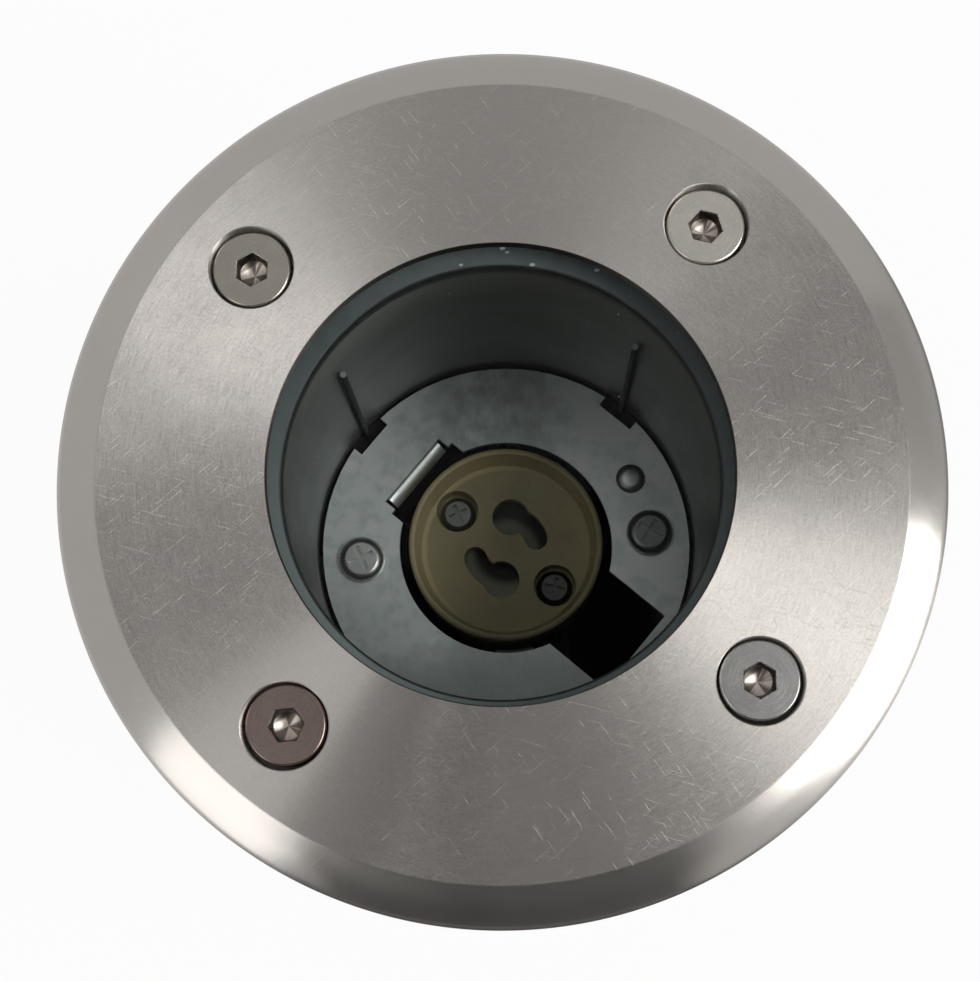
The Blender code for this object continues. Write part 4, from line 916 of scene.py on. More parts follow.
class Palette(Enum):
    """The object's finishes."""

    FACE = BrushedFace("brushed_face", (0.60, 0.565, 0.53), 0.46, METAL)
    GLASS = ClearGlass("window_clear", (0.97, 0.985, 0.98), 0.03)
    GASKET = Silicone("gasket_silicone", (0.112, 0.130, 0.132), 0.5)
    WASHER = Moulded("washer_nylon", (0.70, 0.68, 0.62), 0.5)
    HOUSING = Casting("housing_coat", (0.085, 0.085, 0.080), 0.44)
    BRACKET = BentZinc("bracket_plating", (0.80, 0.85, 0.83), 0.42, 0.75)
    ZINC = ZincPlate("zinc_plating", (0.60, 0.62, 0.60), 0.40, 0.85)
    RIVET = RivetHead("rivet_plating", (0.90, 0.92, 0.90), 0.35, 0.9)
    WIRE = SpringWire("spring_wire", (0.018, 0.018, 0.017), 0.60, 0.3)
    CERAMIC = Ceramic("steatite", (0.56, 0.465, 0.265), 0.45)
    # The strip's colour is darkened to stand in for the shade in the pin slots.
    STRIP = ContactStrip("nickel_strip", (0.26, 0.245, 0.19), 0.50, 0.7)
    BRASS = DrawnMetal("turned_brass", (0.62, 0.47, 0.22), 0.28, METAL)
    # The leads' colours are darkened to stand in for the shade inside the housing.
    BROWN = Moulded("brown_sleeving", (0.07, 0.032, 0.015), 0.5)
    BLUE = Moulded("blue_sleeving", (0.016, 0.04, 0.12), 0.5)
    GREEN = Moulded("green_sleeving", (0.035, 0.11, 0.025), 0.5)
    BLOCK = Moulded("block_plastic", (0.02, 0.02, 0.02), 0.5)
    GLAND = Moulded("gland_nylon", (0.035, 0.035, 0.036), 0.42)
    RUBBER = Moulded("seal_rubber", (0.025, 0.025, 0.025), 0.6)
    SLEEVE = Moulded(
        "sleeve_plastic",
        (0.032, 0.032, 0.033),
        0.48,
        relief=(0.09, 0.5),
        texture=Grain(1.6, 2.0, 0.6),
        scuff_share=0.7,
    )


Dressing = tuple[tuple[str, Palette], ...]


def numbered(name: str, count: int, finish: Palette) -> Dressing:
    """Return the same finish for a row of numbered solids."""
    return tuple((f"{name}_{number}", finish) for number in range(1, count + 1))


class Paints:
    """Makes each finish once."""

    def __init__(self) -> None:
        """Start with no paint made."""
        self._made: dict[Finish, bpy.types.Material] = {}

    def __getitem__(self, wanted: Palette | Finish) -> bpy.types.Material:
        """Return a finish as a material, made on first use."""
        finish = wanted.value if isinstance(wanted, Palette) else wanted
        if finish not in self._made:
            self._made[finish] = finish.make()
        return self._made[finish]


PAINTS = Paints()


def linked(piece: Piece) -> Piece:
    """Put an object in the scene's collection and return it."""
    bpy.context.scene.collection.objects.link(piece)
    return piece


def shade(mesh: bpy.types.Mesh, angle: float = SHARP_ANGLE) -> None:
    """Shade a mesh smooth apart from its sharp edges, its level faces and its flat outlines.

    Args:
        mesh: The mesh.
        angle: Edges sharper than this stay sharp, in radians.
    """
    mesh.shade_smooth()
    mesh.set_sharp_from_angle(angle=angle)
    for polygon in mesh.polygons:
        if polygon.loop_total > OUTLINE_CORNERS or abs(polygon.normal.z) > LEVEL_COSINE:
            polygon.use_smooth = False


def seat(piece: Piece, node: str) -> None:
    """Let a finished piece stand for its node and ride on the node's body.

    Args:
        piece: The piece, at the origin.
        node: The solid that it stands for.
    """
    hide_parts(node)
    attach(piece, BODY_OF[node])
    SLOT_OF[node]
    LOG.info("%s rides on %s", piece.name, BODY_OF[node])


def coated(piece: Piece, node: str, finish: Palette, angle: float = SHARP_ANGLE) -> None:
    """Give a piece one finish and its shading, and seat it.

    Args:
        piece: The piece, at the origin.
        node: The solid that it stands for.
        finish: Its finish.
        angle: Edges sharper than this stay sharp, in radians.
    """
    piece.data.materials.clear()
    piece.data.materials.append(PAINTS[finish])
    shade(piece.data, angle)
    seat(piece, node)


def dressed(node: str, finish: Palette) -> None:
    """Let a smoothly shaded copy stand for a solid whose shape is right.

    Args:
        node: The solid.
        finish: Its finish.
    """
    shape = bmesh.new()
    shape.from_mesh(frame["nodes"][node].data)
    bmesh.ops.remove_doubles(shape, verts=shape.verts, dist=MERGE_DISTANCE)
    bmesh.ops.dissolve_limit(
        shape, angle_limit=MERGE_ANGLE, verts=shape.verts, edges=shape.edges, delimit={"NORMAL"}
    )
    coated(settled(shape, f"{node}_finish"), node, finish)


def settled(shape: bmesh.types.BMesh, name: str) -> Piece:
    """Turn a shape that is done into an object of the scene.

    Args:
        shape: The shape, which is freed.
        name: The object's name.

    Returns:
        The object.
    """
    mesh = bpy.data.meshes.new(name)
    shape.to_mesh(mesh)
    shape.free()
    return linked(bpy.data.objects.new(name, mesh))


def turned(name: str, profile: Profile, steps: int) -> Piece:
    """Turn a closed profile about the vertical axis.

    Args:
        name: The new object's name.
        profile: Points of (radius, height) in metres, all off the axis or ending on it.
        steps: How many steps the turn has.

    Returns:
        The turned object.
    """
    shape = bmesh.new()
    turns = [math.tau * step / steps for step in range(steps)]
    rings = []
    for radius, height in profile:
        spots = turns if radius > MERGE_DISTANCE else turns[:1]
        rings.append([shape.verts.new((radius * math.cos(t), radius * math.sin(t), height)) for t in spots])
    for low, high in zip(rings, rings[1:] + rings[:1]):
        if len(low) == 1 and len(high) == 1:
            continue
        for step in range(steps):
            after = (step + 1) % steps
            places = ((low, step), (low, after), (high, after), (high, step))
            corners = [ring[place % len(ring)] for ring, place in places]
            shape.faces.new(list(dict.fromkeys(corners)))
    bmesh.ops.recalc_face_normals(shape, faces=shape.faces)
    return settled(shape, name)


def applied(piece: Piece) -> None:
    """Turn a piece and its modifiers into one plain mesh.

    Args:
        piece: The piece whose modifiers are finished with.
    """
    bpy.context.view_layer.update()
    seen = piece.evaluated_get(bpy.context.evaluated_depsgraph_get())
    mesh = bpy.data.meshes.new_from_object(seen)
    mesh.name = piece.name
    piece.modifiers.clear()
    piece.data = mesh


def drilled(piece: Piece, cutters: Sequence[Piece]) -> None:
    """Cut each cutter from a piece and throw the cutters away.

    Args:
        piece: The piece that is cut.
        cutters: What is cut from it.
    """
    for cutter in cutters:
        modifier = piece.modifiers.new(cutter.name, "BOOLEAN")
        modifier.operation = "DIFFERENCE"
        modifier.solver = "EXACT"
        modifier.object = cutter
    applied(piece)
    for cutter in cutters:
        bpy.data.objects.remove(cutter, do_unlink=True)


def polar(radius: float, bearing: float, height: float = 0.0) -> Vector:
    """Return a point at a radius, a bearing in degrees and a height."""
    angle = math.radians(bearing)
    return Vector((radius * math.cos(angle), radius * math.sin(angle), height))


def eased(points: Profile, steps: int) -> list[tuple[float, float]]:
    """Run a smooth line through points.

    Args:
        points: The points it passes.
        steps: How many steps lie between two of them.

    Returns:
        The line's points.
    """
    line = [points[0]]
    for number in range(len(points) - 1):
        before = Vector(points[max(number - 1, 0)])
        start = Vector(points[number])
        end = Vector(points[number + 1])
        after = Vector(points[min(number + 2, len(points) - 1)])
        for step in range(1, steps + 1):
            t = step / steps
            bend = start.lerp(end, t * t * (3 - 2 * t))
            bend += (end - before) / 2 * (t * (1 - t) ** 2) + (after - start) / 2 * (t * t * (t - 1))
            line.append((bend.x, bend.y))
    return line


class StackTree(Graph):
    """A Geometry Nodes tree that stacks rings into a screw and cuts its drive."""

    def __init__(self, name: str, steps: int) -> None:
        """Open the tree and its named inputs.

        Args:
            name: The tree's name.
            steps: How many corners the screw's rings have.
        """
        super().__init__(bpy.data.node_groups.new(name, "GeometryNodeTree"))
        self.steps = steps
        face = self.tree.interface
        face.new_socket("Geometry", in_out="OUTPUT", socket_type="NodeSocketGeometry")
        for label, kind in (
            ("Geometry", "NodeSocketGeometry"),
            ("Seat", "NodeSocketVector"),
            ("Turn", "NodeSocketFloat"),
            ("Finish", "NodeSocketMaterial"),
        ):
            face.new_socket(label, in_out="INPUT", socket_type=kind)
        self.entry = self.add("NodeGroupInput")

    def stack(self, outline: Profile) -> Socket:
        """Stack rings from the first point of an outline up to its last.

        Args:
            outline: Points of (radius, height) off the axis, upwards along the outside.

        Returns:
            The closed body.
        """
        radius, height = outline[0]
        inputs = {"Vertices": self.steps, "Radius": radius}
        disc = self.add("GeometryNodeMeshCircle", {"fill_type": "NGON"}, inputs)
        base = self.moved(disc.outputs[0], height)
        body, top = base, True
        for new_radius, new_height in outline[1:]:
            inputs = {
                "Mesh": body,
                "Selection": top,
                "Offset": (0.0, 0.0, 1.0),
                "Offset Scale": new_height - height,
                "Individual": False,
            }
            raised = self.add("GeometryNodeExtrudeMesh", {"mode": "FACES"}, inputs)
            top = raised.outputs["Top"]
            inputs = {"Geometry": raised.outputs["Mesh"], "Selection": top, "Scale": new_radius / radius}
            body = self.add("GeometryNodeScaleElements", {"domain": "FACE"}, inputs).outputs[0]
            radius, height = new_radius, new_height
        lid = self.add("GeometryNodeFlipFaces", None, {0: base})
        both = self.add("GeometryNodeJoinGeometry")
        for part in (body, lid.outputs[0]):
            self.feed(both.inputs[0], part)
        inputs = {"Geometry": both.outputs[0], "Distance": MERGE_DISTANCE}
        return self.add("GeometryNodeMergeByDistance", None, inputs).outputs[0]

    def moved(self, part: Socket, height: float, turn: float = 0.0) -> Socket:
        """Raise a part and turn it about the vertical."""
        inputs = {"Geometry": part, "Translation": (0.0, 0.0, height), "Rotation": (0.0, 0.0, turn)}
        return self.add("GeometryNodeTransform", None, inputs).outputs[0]

    def prism(self, radius: float, low: float, high: float, steps: int) -> Socket:
        """Return an upright prism between two heights."""
        inputs = {"Vertices": steps, "Radius": radius, "Depth": high - low}
        solid = self.add("GeometryNodeMeshCylinder", {"fill_type": "NGON"}, inputs)
        return self.moved(solid.outputs[0], (low + high) / 2)

    def cone(self, radius: float, low: float, high: float, steps: int) -> Socket:
        """Return a cone that stands on its point."""
        inputs = {"Vertices": steps, "Radius Top": radius, "Radius Bottom": 0.0, "Depth": high - low}
        solid = self.add("GeometryNodeMeshCone", {"fill_type": "NGON"}, inputs)
        return self.moved(solid.outputs[0], low)

    def bar(self, size: Triple, middle: float, turn: float) -> Socket:
        """Return a bar across the axis at a height, turned about it."""
        return self.moved(self.add("GeometryNodeMeshCube", None, {"Size": size}).outputs[0], middle, turn)

    def cut(self, body: Socket, *tools: Socket) -> Socket:
        """Cut tools from a body, one after the other.

        Args:
            body: The body.
            tools: What is cut from it.

        Returns:
            What is left of the body.
        """
        for tool in tools:
            settings = {"operation": "DIFFERENCE", "solver": "EXACT"}
            node = self.add("GeometryNodeMeshBoolean", settings, {"Mesh 1": body, "Mesh 2": tool})
            body = node.outputs[0]
        return body

    def close(self, body: Socket) -> None:
        """Set the body in its place and give it its finish.

        Args:
            body: The finished body, standing on the origin's axis.
        """
        spin = self.add("ShaderNodeCombineXYZ", None, {"Z": self.entry.outputs["Turn"]})
        inputs = {"Geometry": body, "Translation": self.entry.outputs["Seat"], "Rotation": spin.outputs[0]}
        seated = self.add("GeometryNodeTransform", None, inputs)
        real = self.add("GeometryNodeRealizeInstances", None, {0: seated.outputs[0]})
        inputs = {"Geometry": real.outputs[0], "Material": self.entry.outputs["Finish"]}
        painted = self.add("GeometryNodeSetMaterial", None, inputs)
        self.add("NodeGroupOutput", None, {0: painted.outputs[0]})

    def make(self, name: str, node: str, axis: Vector, turn: float, finish: Finish) -> None:
        """Run the tree once and seat the result as a plain piece.

        Args:
            name: The piece's name.
            node: The solid that it stands for.
            axis: Where the screw's axis stands.
            turn: Its turn about the axis, in degrees.
            finish: Its finish.
        """
        piece = linked(bpy.data.objects.new(name, bpy.data.meshes.new(name)))
        modifier = piece.modifiers.new("stack", "NODES")
        modifier.node_group = self.tree
        values = {"Seat": axis, "Turn": math.radians(turn), "Finish": PAINTS[finish]}
        for item in self.tree.interface.items_tree:
            if item.in_out == "INPUT" and item.name in values:
                modifier[item.identifier] = values[item.name]
        applied(piece)
        shade(piece.data)
        seat(piece, node)


@dataclass(frozen=True)
class ScrewPlace:
    """Where a screw stands, in metres and degrees, its shift in millimetres and its colour, which carries
    painted light and shade.
    """

    radius: float
    bearing: float
    turn: float
    colour: Colour
    shift: Span = (0.0, 0.0)

    def axis(self) -> Vector:
        """Return the foot of the screw's axis."""
        return polar(self.radius, self.bearing) + Vector((*self.shift, 0.0)) * MILLIMETRE

    def middle(self) -> Span:
        """Return the axis in millimetres."""
        axis = self.axis()
        return (axis.x / MILLIMETRE, axis.y / MILLIMETRE)


@dataclass
class Assembly:
    """A sub-assembly, of which some solids need only their finish."""

    finishes: Dressing = ()

    def build(self) -> None:
        """Dress the solids of the right shape, then make the pieces that replace the others."""
        for node, finish in self.finishes:
            dressed(node, finish)
        self.replace()

    def replace(self) -> None:
        """Make the pieces that replace their solids, if there are any."""


@dataclass
class Front(Assembly):
    """The face ring with its glass and gasket."""

    face_radius: float = 0.055
    bevel_width: float = 0.0053
    bevel_drop: float = 0.0026
    bevel_margin: float = 0.0003
    bevel_steps: int = 8
    bevel_shares: Profile = ((1.0, 0.0), (0.5, 0.36), (0.125, 0.76), (0.0, 1.0))
    window_radius: float = 0.02875
    lip: float = 0.0015
    edge: float = 0.00012
    edge_share: float = 0.3
    foot_chamfer: float = 0.0006
    recess_gap: float = 0.0003
    ring_steps: int = 288
    ring_angle: float = math.radians(10.0)
    bolt_radius: float = 0.0404
    bolts: tuple[float, ...] = (45.0, 135.0, 225.0, 315.0)
    hole_radius: float = 0.0053
    hole_floor: float = 0.0059
    hole_steps: int = 72
    shank_radius: float = 0.0033
    overrun: float = 0.001
    window_steps: int = 192
    glass_edge: float = 0.0004
    gasket_bore: float = 0.0276
    gasket_edge: float = 0.0003
    gasket_angle: float = math.radians(50.0)

    def replace(self) -> None:
        """Build the ring, the glass and the gasket."""
        self.ring()
        self.glass()
        self.gasket()

    def bevel(self) -> list[tuple[float, float]]:
        """Return the bevel's points from the flat face down to the rim."""
        points = [
            (self.face_radius - self.bevel_width * out, FACE_LEVEL - self.bevel_drop * down)
            for out, down in self.bevel_shares
        ]
        return [(points[0][0] - self.bevel_margin, FACE_LEVEL)] + eased(points, self.bevel_steps)

    def ring(self) -> None:
        """Turn the ring and cut its four stepped holes."""
        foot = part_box("front_ring")[0][2]
        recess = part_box("window_glass")[1][0] + self.recess_gap
        step = self.edge * self.edge_share
        ledge = FACE_LEVEL - self.lip
        profile = self.bevel() + [
            (self.face_radius, foot + self.foot_chamfer),
            (self.face_radius - self.foot_chamfer, foot),
            (recess, foot),
            (recess, ledge),
            (self.window_radius, ledge),
            (self.window_radius, FACE_LEVEL - self.edge),
            (self.window_radius + step, FACE_LEVEL - step),
            (self.window_radius + self.edge, FACE_LEVEL),
        ]
        ring = turned("face_ring", profile, self.ring_steps)
        above = FACE_LEVEL + self.overrun
        floor = FACE_LEVEL - self.hole_floor
        hole = [
            (0.0, above),
            (self.hole_radius + self.edge + self.overrun, above),
            (self.hole_radius, FACE_LEVEL - self.edge),
            (self.hole_radius, floor),
            (self.shank_radius, floor),
            (self.shank_radius, foot - self.overrun),
            (0.0, foot - self.overrun),
        ]
        cutters = []
        for bolt in self.bolts:
            cutters.append(turned(f"hole_{bolt:.0f}", hole, self.hole_steps))
            cutters[-1].location = polar(self.bolt_radius, bolt)
        drilled(ring, cutters)
        coated(ring, "front_ring", Palette.FACE, self.ring_angle)

    def glass(self) -> None:
        """Turn the window glass with its ground edge."""
        (_, _, low), (rim, _, high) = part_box("window_glass")
        edge = self.glass_edge
        profile = [
            (0.0, high),
            (rim - edge, high),
            (rim, high - edge),
            (rim, low + edge),
            (rim - edge, low),
            (0.0, low),
        ]
        coated(turned("clear_window", profile, self.window_steps), "window_glass", Palette.GLASS)

    def gasket(self) -> None:
        """Turn the gasket with softly rounded inner edges."""
        (_, _, low), (rim, _, high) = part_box("glass_gasket")
        bore = self.gasket_bore
        soft = self.gasket_edge
        step = soft * self.edge_share
        profile = [
            (rim, high),
            (rim, low),
            (bore + soft, low),
            (bore, low + soft),
            (bore, high - soft),
            (bore + step, high - step),
            (bore + soft, high),
        ]
        gasket = turned("soft_gasket", profile, self.window_steps)
        coated(gasket, "glass_gasket", Palette.GASKET, self.gasket_angle)


@dataclass
class FaceScrews(Assembly):
    """Four low-head screws with hex sockets, each on its own washer."""

    finishes: Dressing = numbered("face_screw_washer", 4, Palette.WASHER)
    head_radius: float = 0.0049
    head_height: float = 0.004
    head_steps: int = 96
    edge: float = 0.00028
    edge_shares: Profile = ((0.0, 1.0), (0.12, 0.6), (0.45, 0.18), (1.0, 0.0), (1.4, 0.0))
    thread_radius: float = 0.003
    point: float = 0.0008
    hex_width: float = 0.0038
    hex_depth: float = 0.0022
    hex_steps: int = 6
    hex_flare: float = 1.05
    drill_share: float = 0.93
    drill_steps: int = 48
    drill_overlap: float = 0.00001
    overrun: float = 0.001
    roughness: float = 0.27
    # Each screw's colour is lighter or darker to stand in for the light and shade on its head.
    places: tuple[ScrewPlace, ...] = (
        ScrewPlace(0.0404, 45.0, 41.0, (0.82, 0.77, 0.70), (-0.10, -0.12)),
        ScrewPlace(0.0404, 135.0, 23.0, (0.55, 0.505, 0.44), (-0.05, -0.08)),
        ScrewPlace(0.0404, 225.0, 0.5, (0.35, 0.27, 0.245), (0.12, 0.12)),
        ScrewPlace(0.0404, 315.0, 25.0, (0.56, 0.55, 0.53), (0.0, 0.14)),
    )

    def replace(self) -> None:
        """Make the tree, then one screw for each place."""
        (_, _, tip), (_, _, top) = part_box("face_screw_1")
        neck = top - self.head_height
        floor = top - self.hex_depth
        tree = self.tree(tip, neck, top, floor)
        for number, place in enumerate(self.places, start=1):
            finish = SocketSteel(
                f"face_screw_steel_{number}",
                place.colour,
                self.roughness,
                METAL,
                middle=place.middle(),
                thread_top=neck / MILLIMETRE,
                head_top=top / MILLIMETRE,
                socket_floor=floor / MILLIMETRE,
            )
            node = f"face_screw_{number}"
            tree.make(f"low_head_screw_{number}", node, place.axis(), place.turn, finish)

    def tree(self, tip: float, neck: float, top: float, floor: float) -> StackTree:
        """Make the screw's tree.

        Args:
            tip: The level of the shank's end.
            neck: The level of the head's underside.
            top: The level of the head's top.
            floor: The level of the socket's floor.

        Returns:
            The finished tree.
        """
        tree = StackTree("low_head_screw", self.head_steps)
        outline = [
            (self.thread_radius - self.point, tip),
            (self.thread_radius, tip + self.point),
            (self.thread_radius, neck),
            (self.head_radius, neck),
        ]
        for into, down in self.edge_shares:
            outline.append((self.head_radius - self.edge * into, top - self.edge * down))
        drill = self.hex_width / 2 * self.drill_share
        corner = self.hex_width / math.sqrt(3.0)
        wide = corner * self.hex_flare + self.overrun
        above = top + self.overrun
        socket = tree.prism(corner, floor, above, self.hex_steps)
        flare = tree.cone(wide, above - wide, above, self.hex_steps)
        tip_level = floor - drill / math.sqrt(3.0)
        point = tree.cone(drill, tip_level, floor + self.drill_overlap, self.drill_steps)
        tree.close(tree.cut(tree.stack(outline), socket, flare, point))
        return tree


@dataclass(frozen=True)
class PanScrews:
    """Pan-head screws with cross recesses, alike but for their places, turns and colours; the colours carry
    painted light and shade.

    head_shares holds the head's rise, as shares of its radius and height, from its rim up. cross_shares
    holds the recess's length and width as shares of the head's radius, and its depth as one of its height.
    """

    piece: str
    node: str
    head_radius: float
    head_height: float
    head_shares: Profile
    thread_radius: float
    pitch: float
    roughness: float
    places: tuple[ScrewPlace, ...]
    steps: int = 64
    cross_shares: Triple = (1.10, 0.24, 0.55)
    overrun: float = 0.001

    def make(self) -> None:
        """Make the tree once, then each screw from it."""
        (_, _, tip), (_, _, top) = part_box(f"{self.node}_1")
        neck = top - self.head_height
        tree = self.tree(tip, neck, top)
        for number, place in enumerate(self.places, start=1):
            finish = TurnedSteel(
                f"{self.node}_steel_{number}",
                place.colour,
                self.roughness,
                METAL,
                middle=place.middle(),
                thread_top=neck / MILLIMETRE,
                pitch=self.pitch,
            )
            node = f"{self.node}_{number}"
            tree.make(f"{self.piece}_{number}", node, place.axis(), place.turn, finish)

    def tree(self, tip: float, neck: float, top: float) -> StackTree:
        """Make the screw's tree.

        Args:
            tip: The level of the shank's end.
            neck: The level of the head's underside.
            top: The level of the head's top.

        Returns:
            The finished tree.
        """
        tree = StackTree(self.piece, self.steps)
        outline = [(self.thread_radius, tip), (self.thread_radius, neck)]
        for out, down in self.head_shares:
            outline.append((self.head_radius * out, top - self.head_height * down))
        length, width, depth = self.cross_shares
        deep = self.head_height * depth
        size = (self.head_radius * length, self.head_radius * width, deep + self.overrun)
        middle = top + (self.overrun - deep) / 2
        crosses = [tree.bar(size, middle, math.radians(angle)) for angle in (0.0, QUARTER_TURN)]
        tree.close(tree.cut(tree.stack(outline), *crosses))
        return tree


@dataclass
class Bracket(Assembly):
    """The zinc-plated plate with its screws, rivet, lug and steady wires."""

    finishes: Dressing = (
        ("lampholder_bracket", Palette.BRACKET),
        ("earth_rivet", Palette.RIVET),
        ("earth_lug", Palette.BRASS),
        *numbered("steady_wire", 2, Palette.WIRE),
    )
    screws: PanScrews = PanScrews(
        "plate_screw",
        "bracket_screw",
        head_radius=0.0036,
        head_height=0.0020,
        head_shares=((1.0, 1.0), (0.985, 0.72), (0.95, 0.46), (0.89, 0.24), (0.80, 0.10), (0.68, 0.03)),
        thread_radius=0.00175,
        pitch=0.7,
        roughness=0.34,
        # The two screws' colours differ to stand in for the light and shade on their heads.
        places=(
            ScrewPlace(0.0225, 180.0, 20.0, (0.80, 0.81, 0.79)),
            ScrewPlace(0.0225, 0.0, 52.0, (0.30, 0.31, 0.30)),
        ),
    )

    def replace(self) -> None:
        """Make the two screws that hold the plate."""
        self.screws.make()


@dataclass
class Lampholder(Assembly):
    """The ceramic lampholder with its contacts, screws and nuts."""

    finishes: Dressing = (
        ("lampholder_body", Palette.CERAMIC),
        ("lampholder_cap", Palette.CERAMIC),
        ("contact_live", Palette.STRIP),
        ("contact_neutral", Palette.STRIP),
        *numbered("lampholder_nut", 2, Palette.ZINC),
    )
    screws: PanScrews = PanScrews(
        "holder_screw",
        "lampholder_screw",
        head_radius=0.0028,
        head_height=0.0018,
        head_shares=((1.0, 1.0), (0.985, 0.72), (0.95, 0.46), (0.88, 0.22), (0.72, 0.05)),
        thread_radius=0.0015,
        pitch=0.5,
        roughness=0.42,
        # The two screws' colours differ to stand in for the light and shade on their heads.
        places=(
            ScrewPlace(0.00965, 137.0, 20.0, (0.30, 0.31, 0.29)),
            ScrewPlace(0.00965, 317.0, -20.0, (0.12, 0.12, 0.115)),
        ),
    )

    def replace(self) -> None:
        """Make the two screws in the ceramic's pockets."""
        self.screws.make()


@dataclass
class Housing(Assembly):
    """The cast housing with the terminal block and the leads inside it."""

    finishes: Dressing = (
        ("housing", Palette.HOUSING),
        ("terminal_block", Palette.BLOCK),
        ("live_lead", Palette.BROWN),
        ("neutral_lead", Palette.BLUE),
        ("earth_lead", Palette.GREEN),
        *numbered("terminal_clamp", 3, Palette.BRASS),
        *numbered("terminal_screw", 6, Palette.BRASS),
        *numbered("terminal_fixing_screw", 2, Palette.ZINC),
    )


@dataclass
class Gland(Assembly):
    """The cable gland below the housing."""

    finishes: Dressing = (
        ("gland_body", Palette.GLAND),
        ("gland_locknut", Palette.GLAND),
        ("gland_nut", Palette.GLAND),
        ("gland_oring", Palette.RUBBER),
        ("gland_insert", Palette.RUBBER),
    )


@dataclass
class Sleeve(Assembly):
    """The plastic sleeve set in the ground."""

    finishes: Dressing = (("ground_sleeve", Palette.SLEEVE),)


@dataclass(frozen=True)
class Hung:
    """Something hung over the face: its bearing in degrees, its distance out, its height and its size."""

    name: str
    bearing: float
    distance: float
    height: float
    size: Span
    power: float = 0.0
    grey: float = 0.08

    def place(self) -> Matrix:
        """Return where it hangs, its local -Z pointing at the middle of the face."""
        aim = Vector((0.0, 0.0, FACE_LEVEL))
        spot = aim + polar(self.distance, self.bearing, self.height)
        return Matrix.Translation(spot) @ (aim - spot).to_track_quat("-Z", "Y").to_matrix().to_4x4()


@dataclass(frozen=True)
class FloorShade:
    """A side on which the floor mirrors darker: its bearing, how it fades in degrees and its level."""

    bearing: float
    fade: Span
    level: float


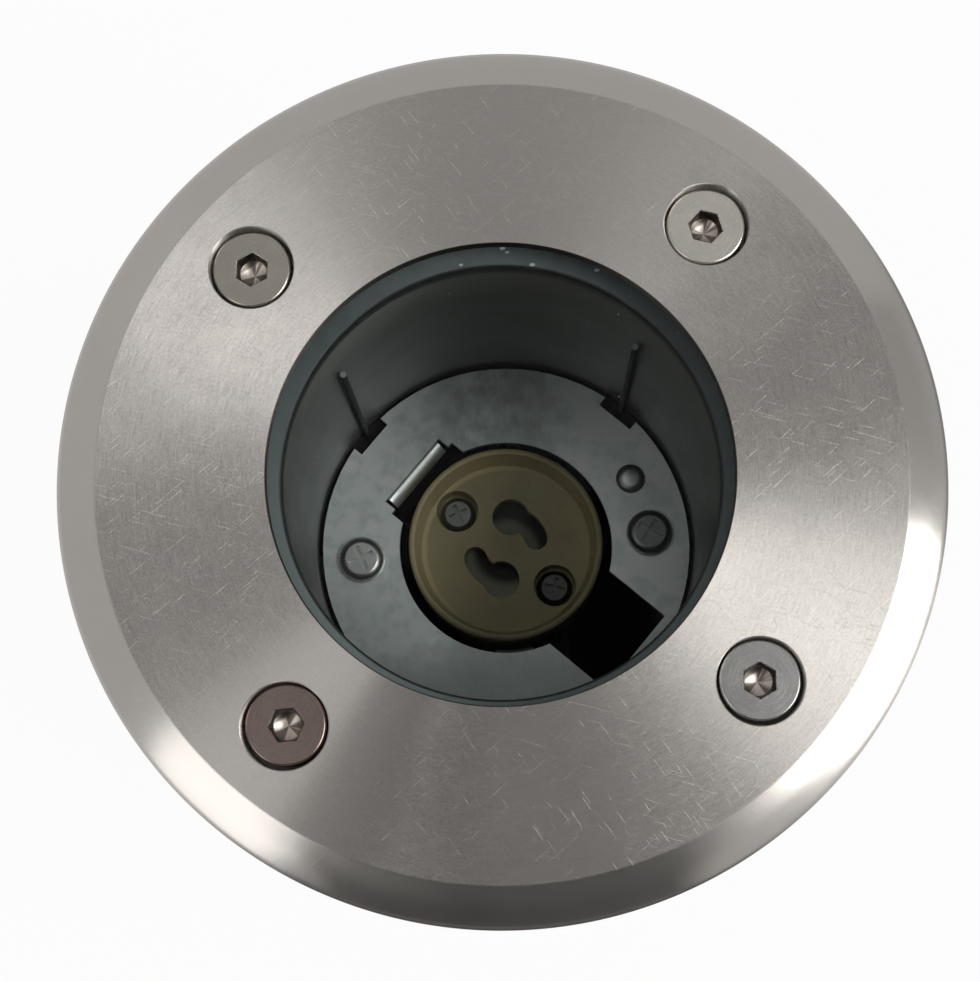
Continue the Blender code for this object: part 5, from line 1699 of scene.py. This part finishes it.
@dataclass
class Studio:
    """The pale floor, the lamps, the grey cards and the camera."""

    floor_half: float = 3.0
    floor_colour: Colour = (0.82, 0.82, 0.82)
    floor_roughness: float = 0.9
    floor_glow: float = 0.95
    floor_gloss: float = 0.55
    floor_edge: Span = (45.0, 46.0)
    floor_shades: tuple[FloorShade, ...] = (
        FloorShade(-94.0, (28.0, 60.0), 0.06),
        FloorShade(14.0, (12.0, 34.0), 0.20),
    )
    world_level: float = 0.40
    lamps: tuple[Hung, ...] = (
        Hung("key", -19.5, 0.70, 0.65, (0.50, 0.8), 6.2),
        Hung("fill", 216.2, 0.66, 0.55, (0.335, 0.95), 1.06),
    )
    cards: tuple[Hung, ...] = (
        Hung("low_card", 265.0, 0.56, 0.50, (0.72, 0.66)),
        Hung("skirt_card", 263.0, 0.60, 0.12, (0.74, 0.22), grey=0.10),
        Hung("right_card", 16.0, 0.66, 0.50, (0.36, 0.60), grey=0.55),
        Hung("high_card", -73.0, 0.042, 0.235, (0.075, 0.15)),
    )
    card_roughness: float = 0.9
    lens: float = 67.38
    sensor: float = 36.0
    eye: Triple = (-0.000968, -0.042591, 0.219800)
    elevation: float = math.radians(79.66)
    roll: float = math.radians(-6.12)
    object_turn: float = math.radians(0.74)
    near: float = 0.01
    far: float = 50.0

    def build(self) -> None:
        """Set the floor, the light and the camera."""
        self.floor()
        self.world()
        for lamp in self.lamps:
            self.hang_lamp(lamp)
        for card in self.cards:
            self.hang_card(card)
        self.camera()
        bpy.context.scene.view_settings.view_transform = "Standard"

    def floor(self) -> None:
        """Lay a pale floor that keeps the object's shadow."""
        floor = self.sheet("floor", self.floor_half, self.floor_half)
        coat = Coat("pale_floor")
        coat.paint(Channel.COLOUR, (*self.floor_colour, 1.0))
        coat.paint(Channel.ROUGHNESS, self.floor_roughness)
        mirrored = coat.ray("Glossy")
        open_floor = coat.place.radius().rise(self.floor_edge)
        level = self.floor_gloss
        for side in self.floor_shades:
            off = (coat.place.turn() - math.radians(side.bearing)).size()
            outside = off.rise((math.radians(side.fade[0]), math.radians(side.fade[1])))
            level = side.level + (level - side.level) * outside
        dark = coat.add("ShaderNodeEmission", None, {"Strength": 0.0})
        glow = coat.add("ShaderNodeEmission", None, {"Color": WHITE, "Strength": 1.0})
        base = coat.mix(mirrored * open_floor, coat.shader.outputs[0], dark.outputs[0])
        share = (coat.ray("Camera") * self.floor_glow + mirrored * level) * open_floor
        coat.show(coat.mix(share, base, glow.outputs[0]))
        floor.data.materials.append(coat.material)

    def sheet(self, name: str, half_width: float, half_height: float) -> Piece:
        """Return a flat rectangle about the origin."""
        mesh = bpy.data.meshes.new(name)
        signs = ((-1, -1), (1, -1), (1, 1), (-1, 1))
        mesh.from_pydata([(x * half_width, y * half_height, 0.0) for x, y in signs], [], [(0, 1, 2, 3)])
        return linked(bpy.data.objects.new(name, mesh))

    def world(self) -> None:
        """Fill the room with even light, white where the camera sees it."""
        world = bpy.data.worlds.new("studio")
        world.use_nodes = True
        bpy.context.scene.world = world
        graph = Graph(world.node_tree)
        inputs = world.node_tree.nodes["Background"].inputs
        inputs["Color"].default_value = WHITE
        graph.feed(inputs["Strength"], self.world_level + graph.ray("Camera") * (1.0 - self.world_level))

    def hang_lamp(self, hung: Hung) -> None:
        """Hang one soft lamp."""
        light = bpy.data.lights.new(hung.name, "AREA")
        light.shape = "RECTANGLE"
        light.size, light.size_y = hung.size
        light.energy = hung.power
        linked(bpy.data.objects.new(hung.name, light)).matrix_world = hung.place()

    def hang_card(self, hung: Hung) -> None:
        """Hang a grey card that darkens what the metal mirrors, out of the camera's sight."""
        card = self.sheet(hung.name, hung.size[0] / 2, hung.size[1] / 2)
        card.data.transform(hung.place())
        card.visible_camera = False
        felt = Moulded("card_felt", (hung.grey, hung.grey, hung.grey), self.card_roughness)
        card.data.materials.append(PAINTS[felt])

    def camera(self) -> None:
        """Stand the camera where the photograph was taken."""
        right = Vector((1.0, 0.0, 0.0))
        up = Vector((0.0, math.sin(self.elevation), math.cos(self.elevation)))
        back = Vector((0.0, -math.cos(self.elevation), math.sin(self.elevation)))
        across = right * math.cos(self.roll) + up * math.sin(self.roll)
        above = up * math.cos(self.roll) - right * math.sin(self.roll)
        axes = Matrix((across, above, back)).transposed().to_4x4()
        spin = Matrix.Rotation(self.object_turn, 4, "Z")
        data = bpy.data.cameras.new("camera")
        data.sensor_fit = "HORIZONTAL"
        data.sensor_width = self.sensor
        data.lens = self.lens
        data.clip_start = self.near
        data.clip_end = self.far
        camera = linked(bpy.data.objects.new("camera", data))
        eye = Vector(self.eye) + Vector((0.0, 0.0, FACE_LEVEL))
        camera.matrix_world = Matrix.Translation(eye) @ spin @ axes
        bpy.context.scene.camera = camera


def main() -> None:
    """Build every sub-assembly in order."""
    logging.basicConfig(level=logging.INFO, format="%(message)s")
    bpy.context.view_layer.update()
    parts = (Studio(), Front(), FaceScrews(), Bracket(), Lampholder(), Housing(), Gland(), Sleeve())
    for part in parts:
        LOG.info("building %s", type(part).__name__)
        part.build()


if __name__ == "__main__":
    main()
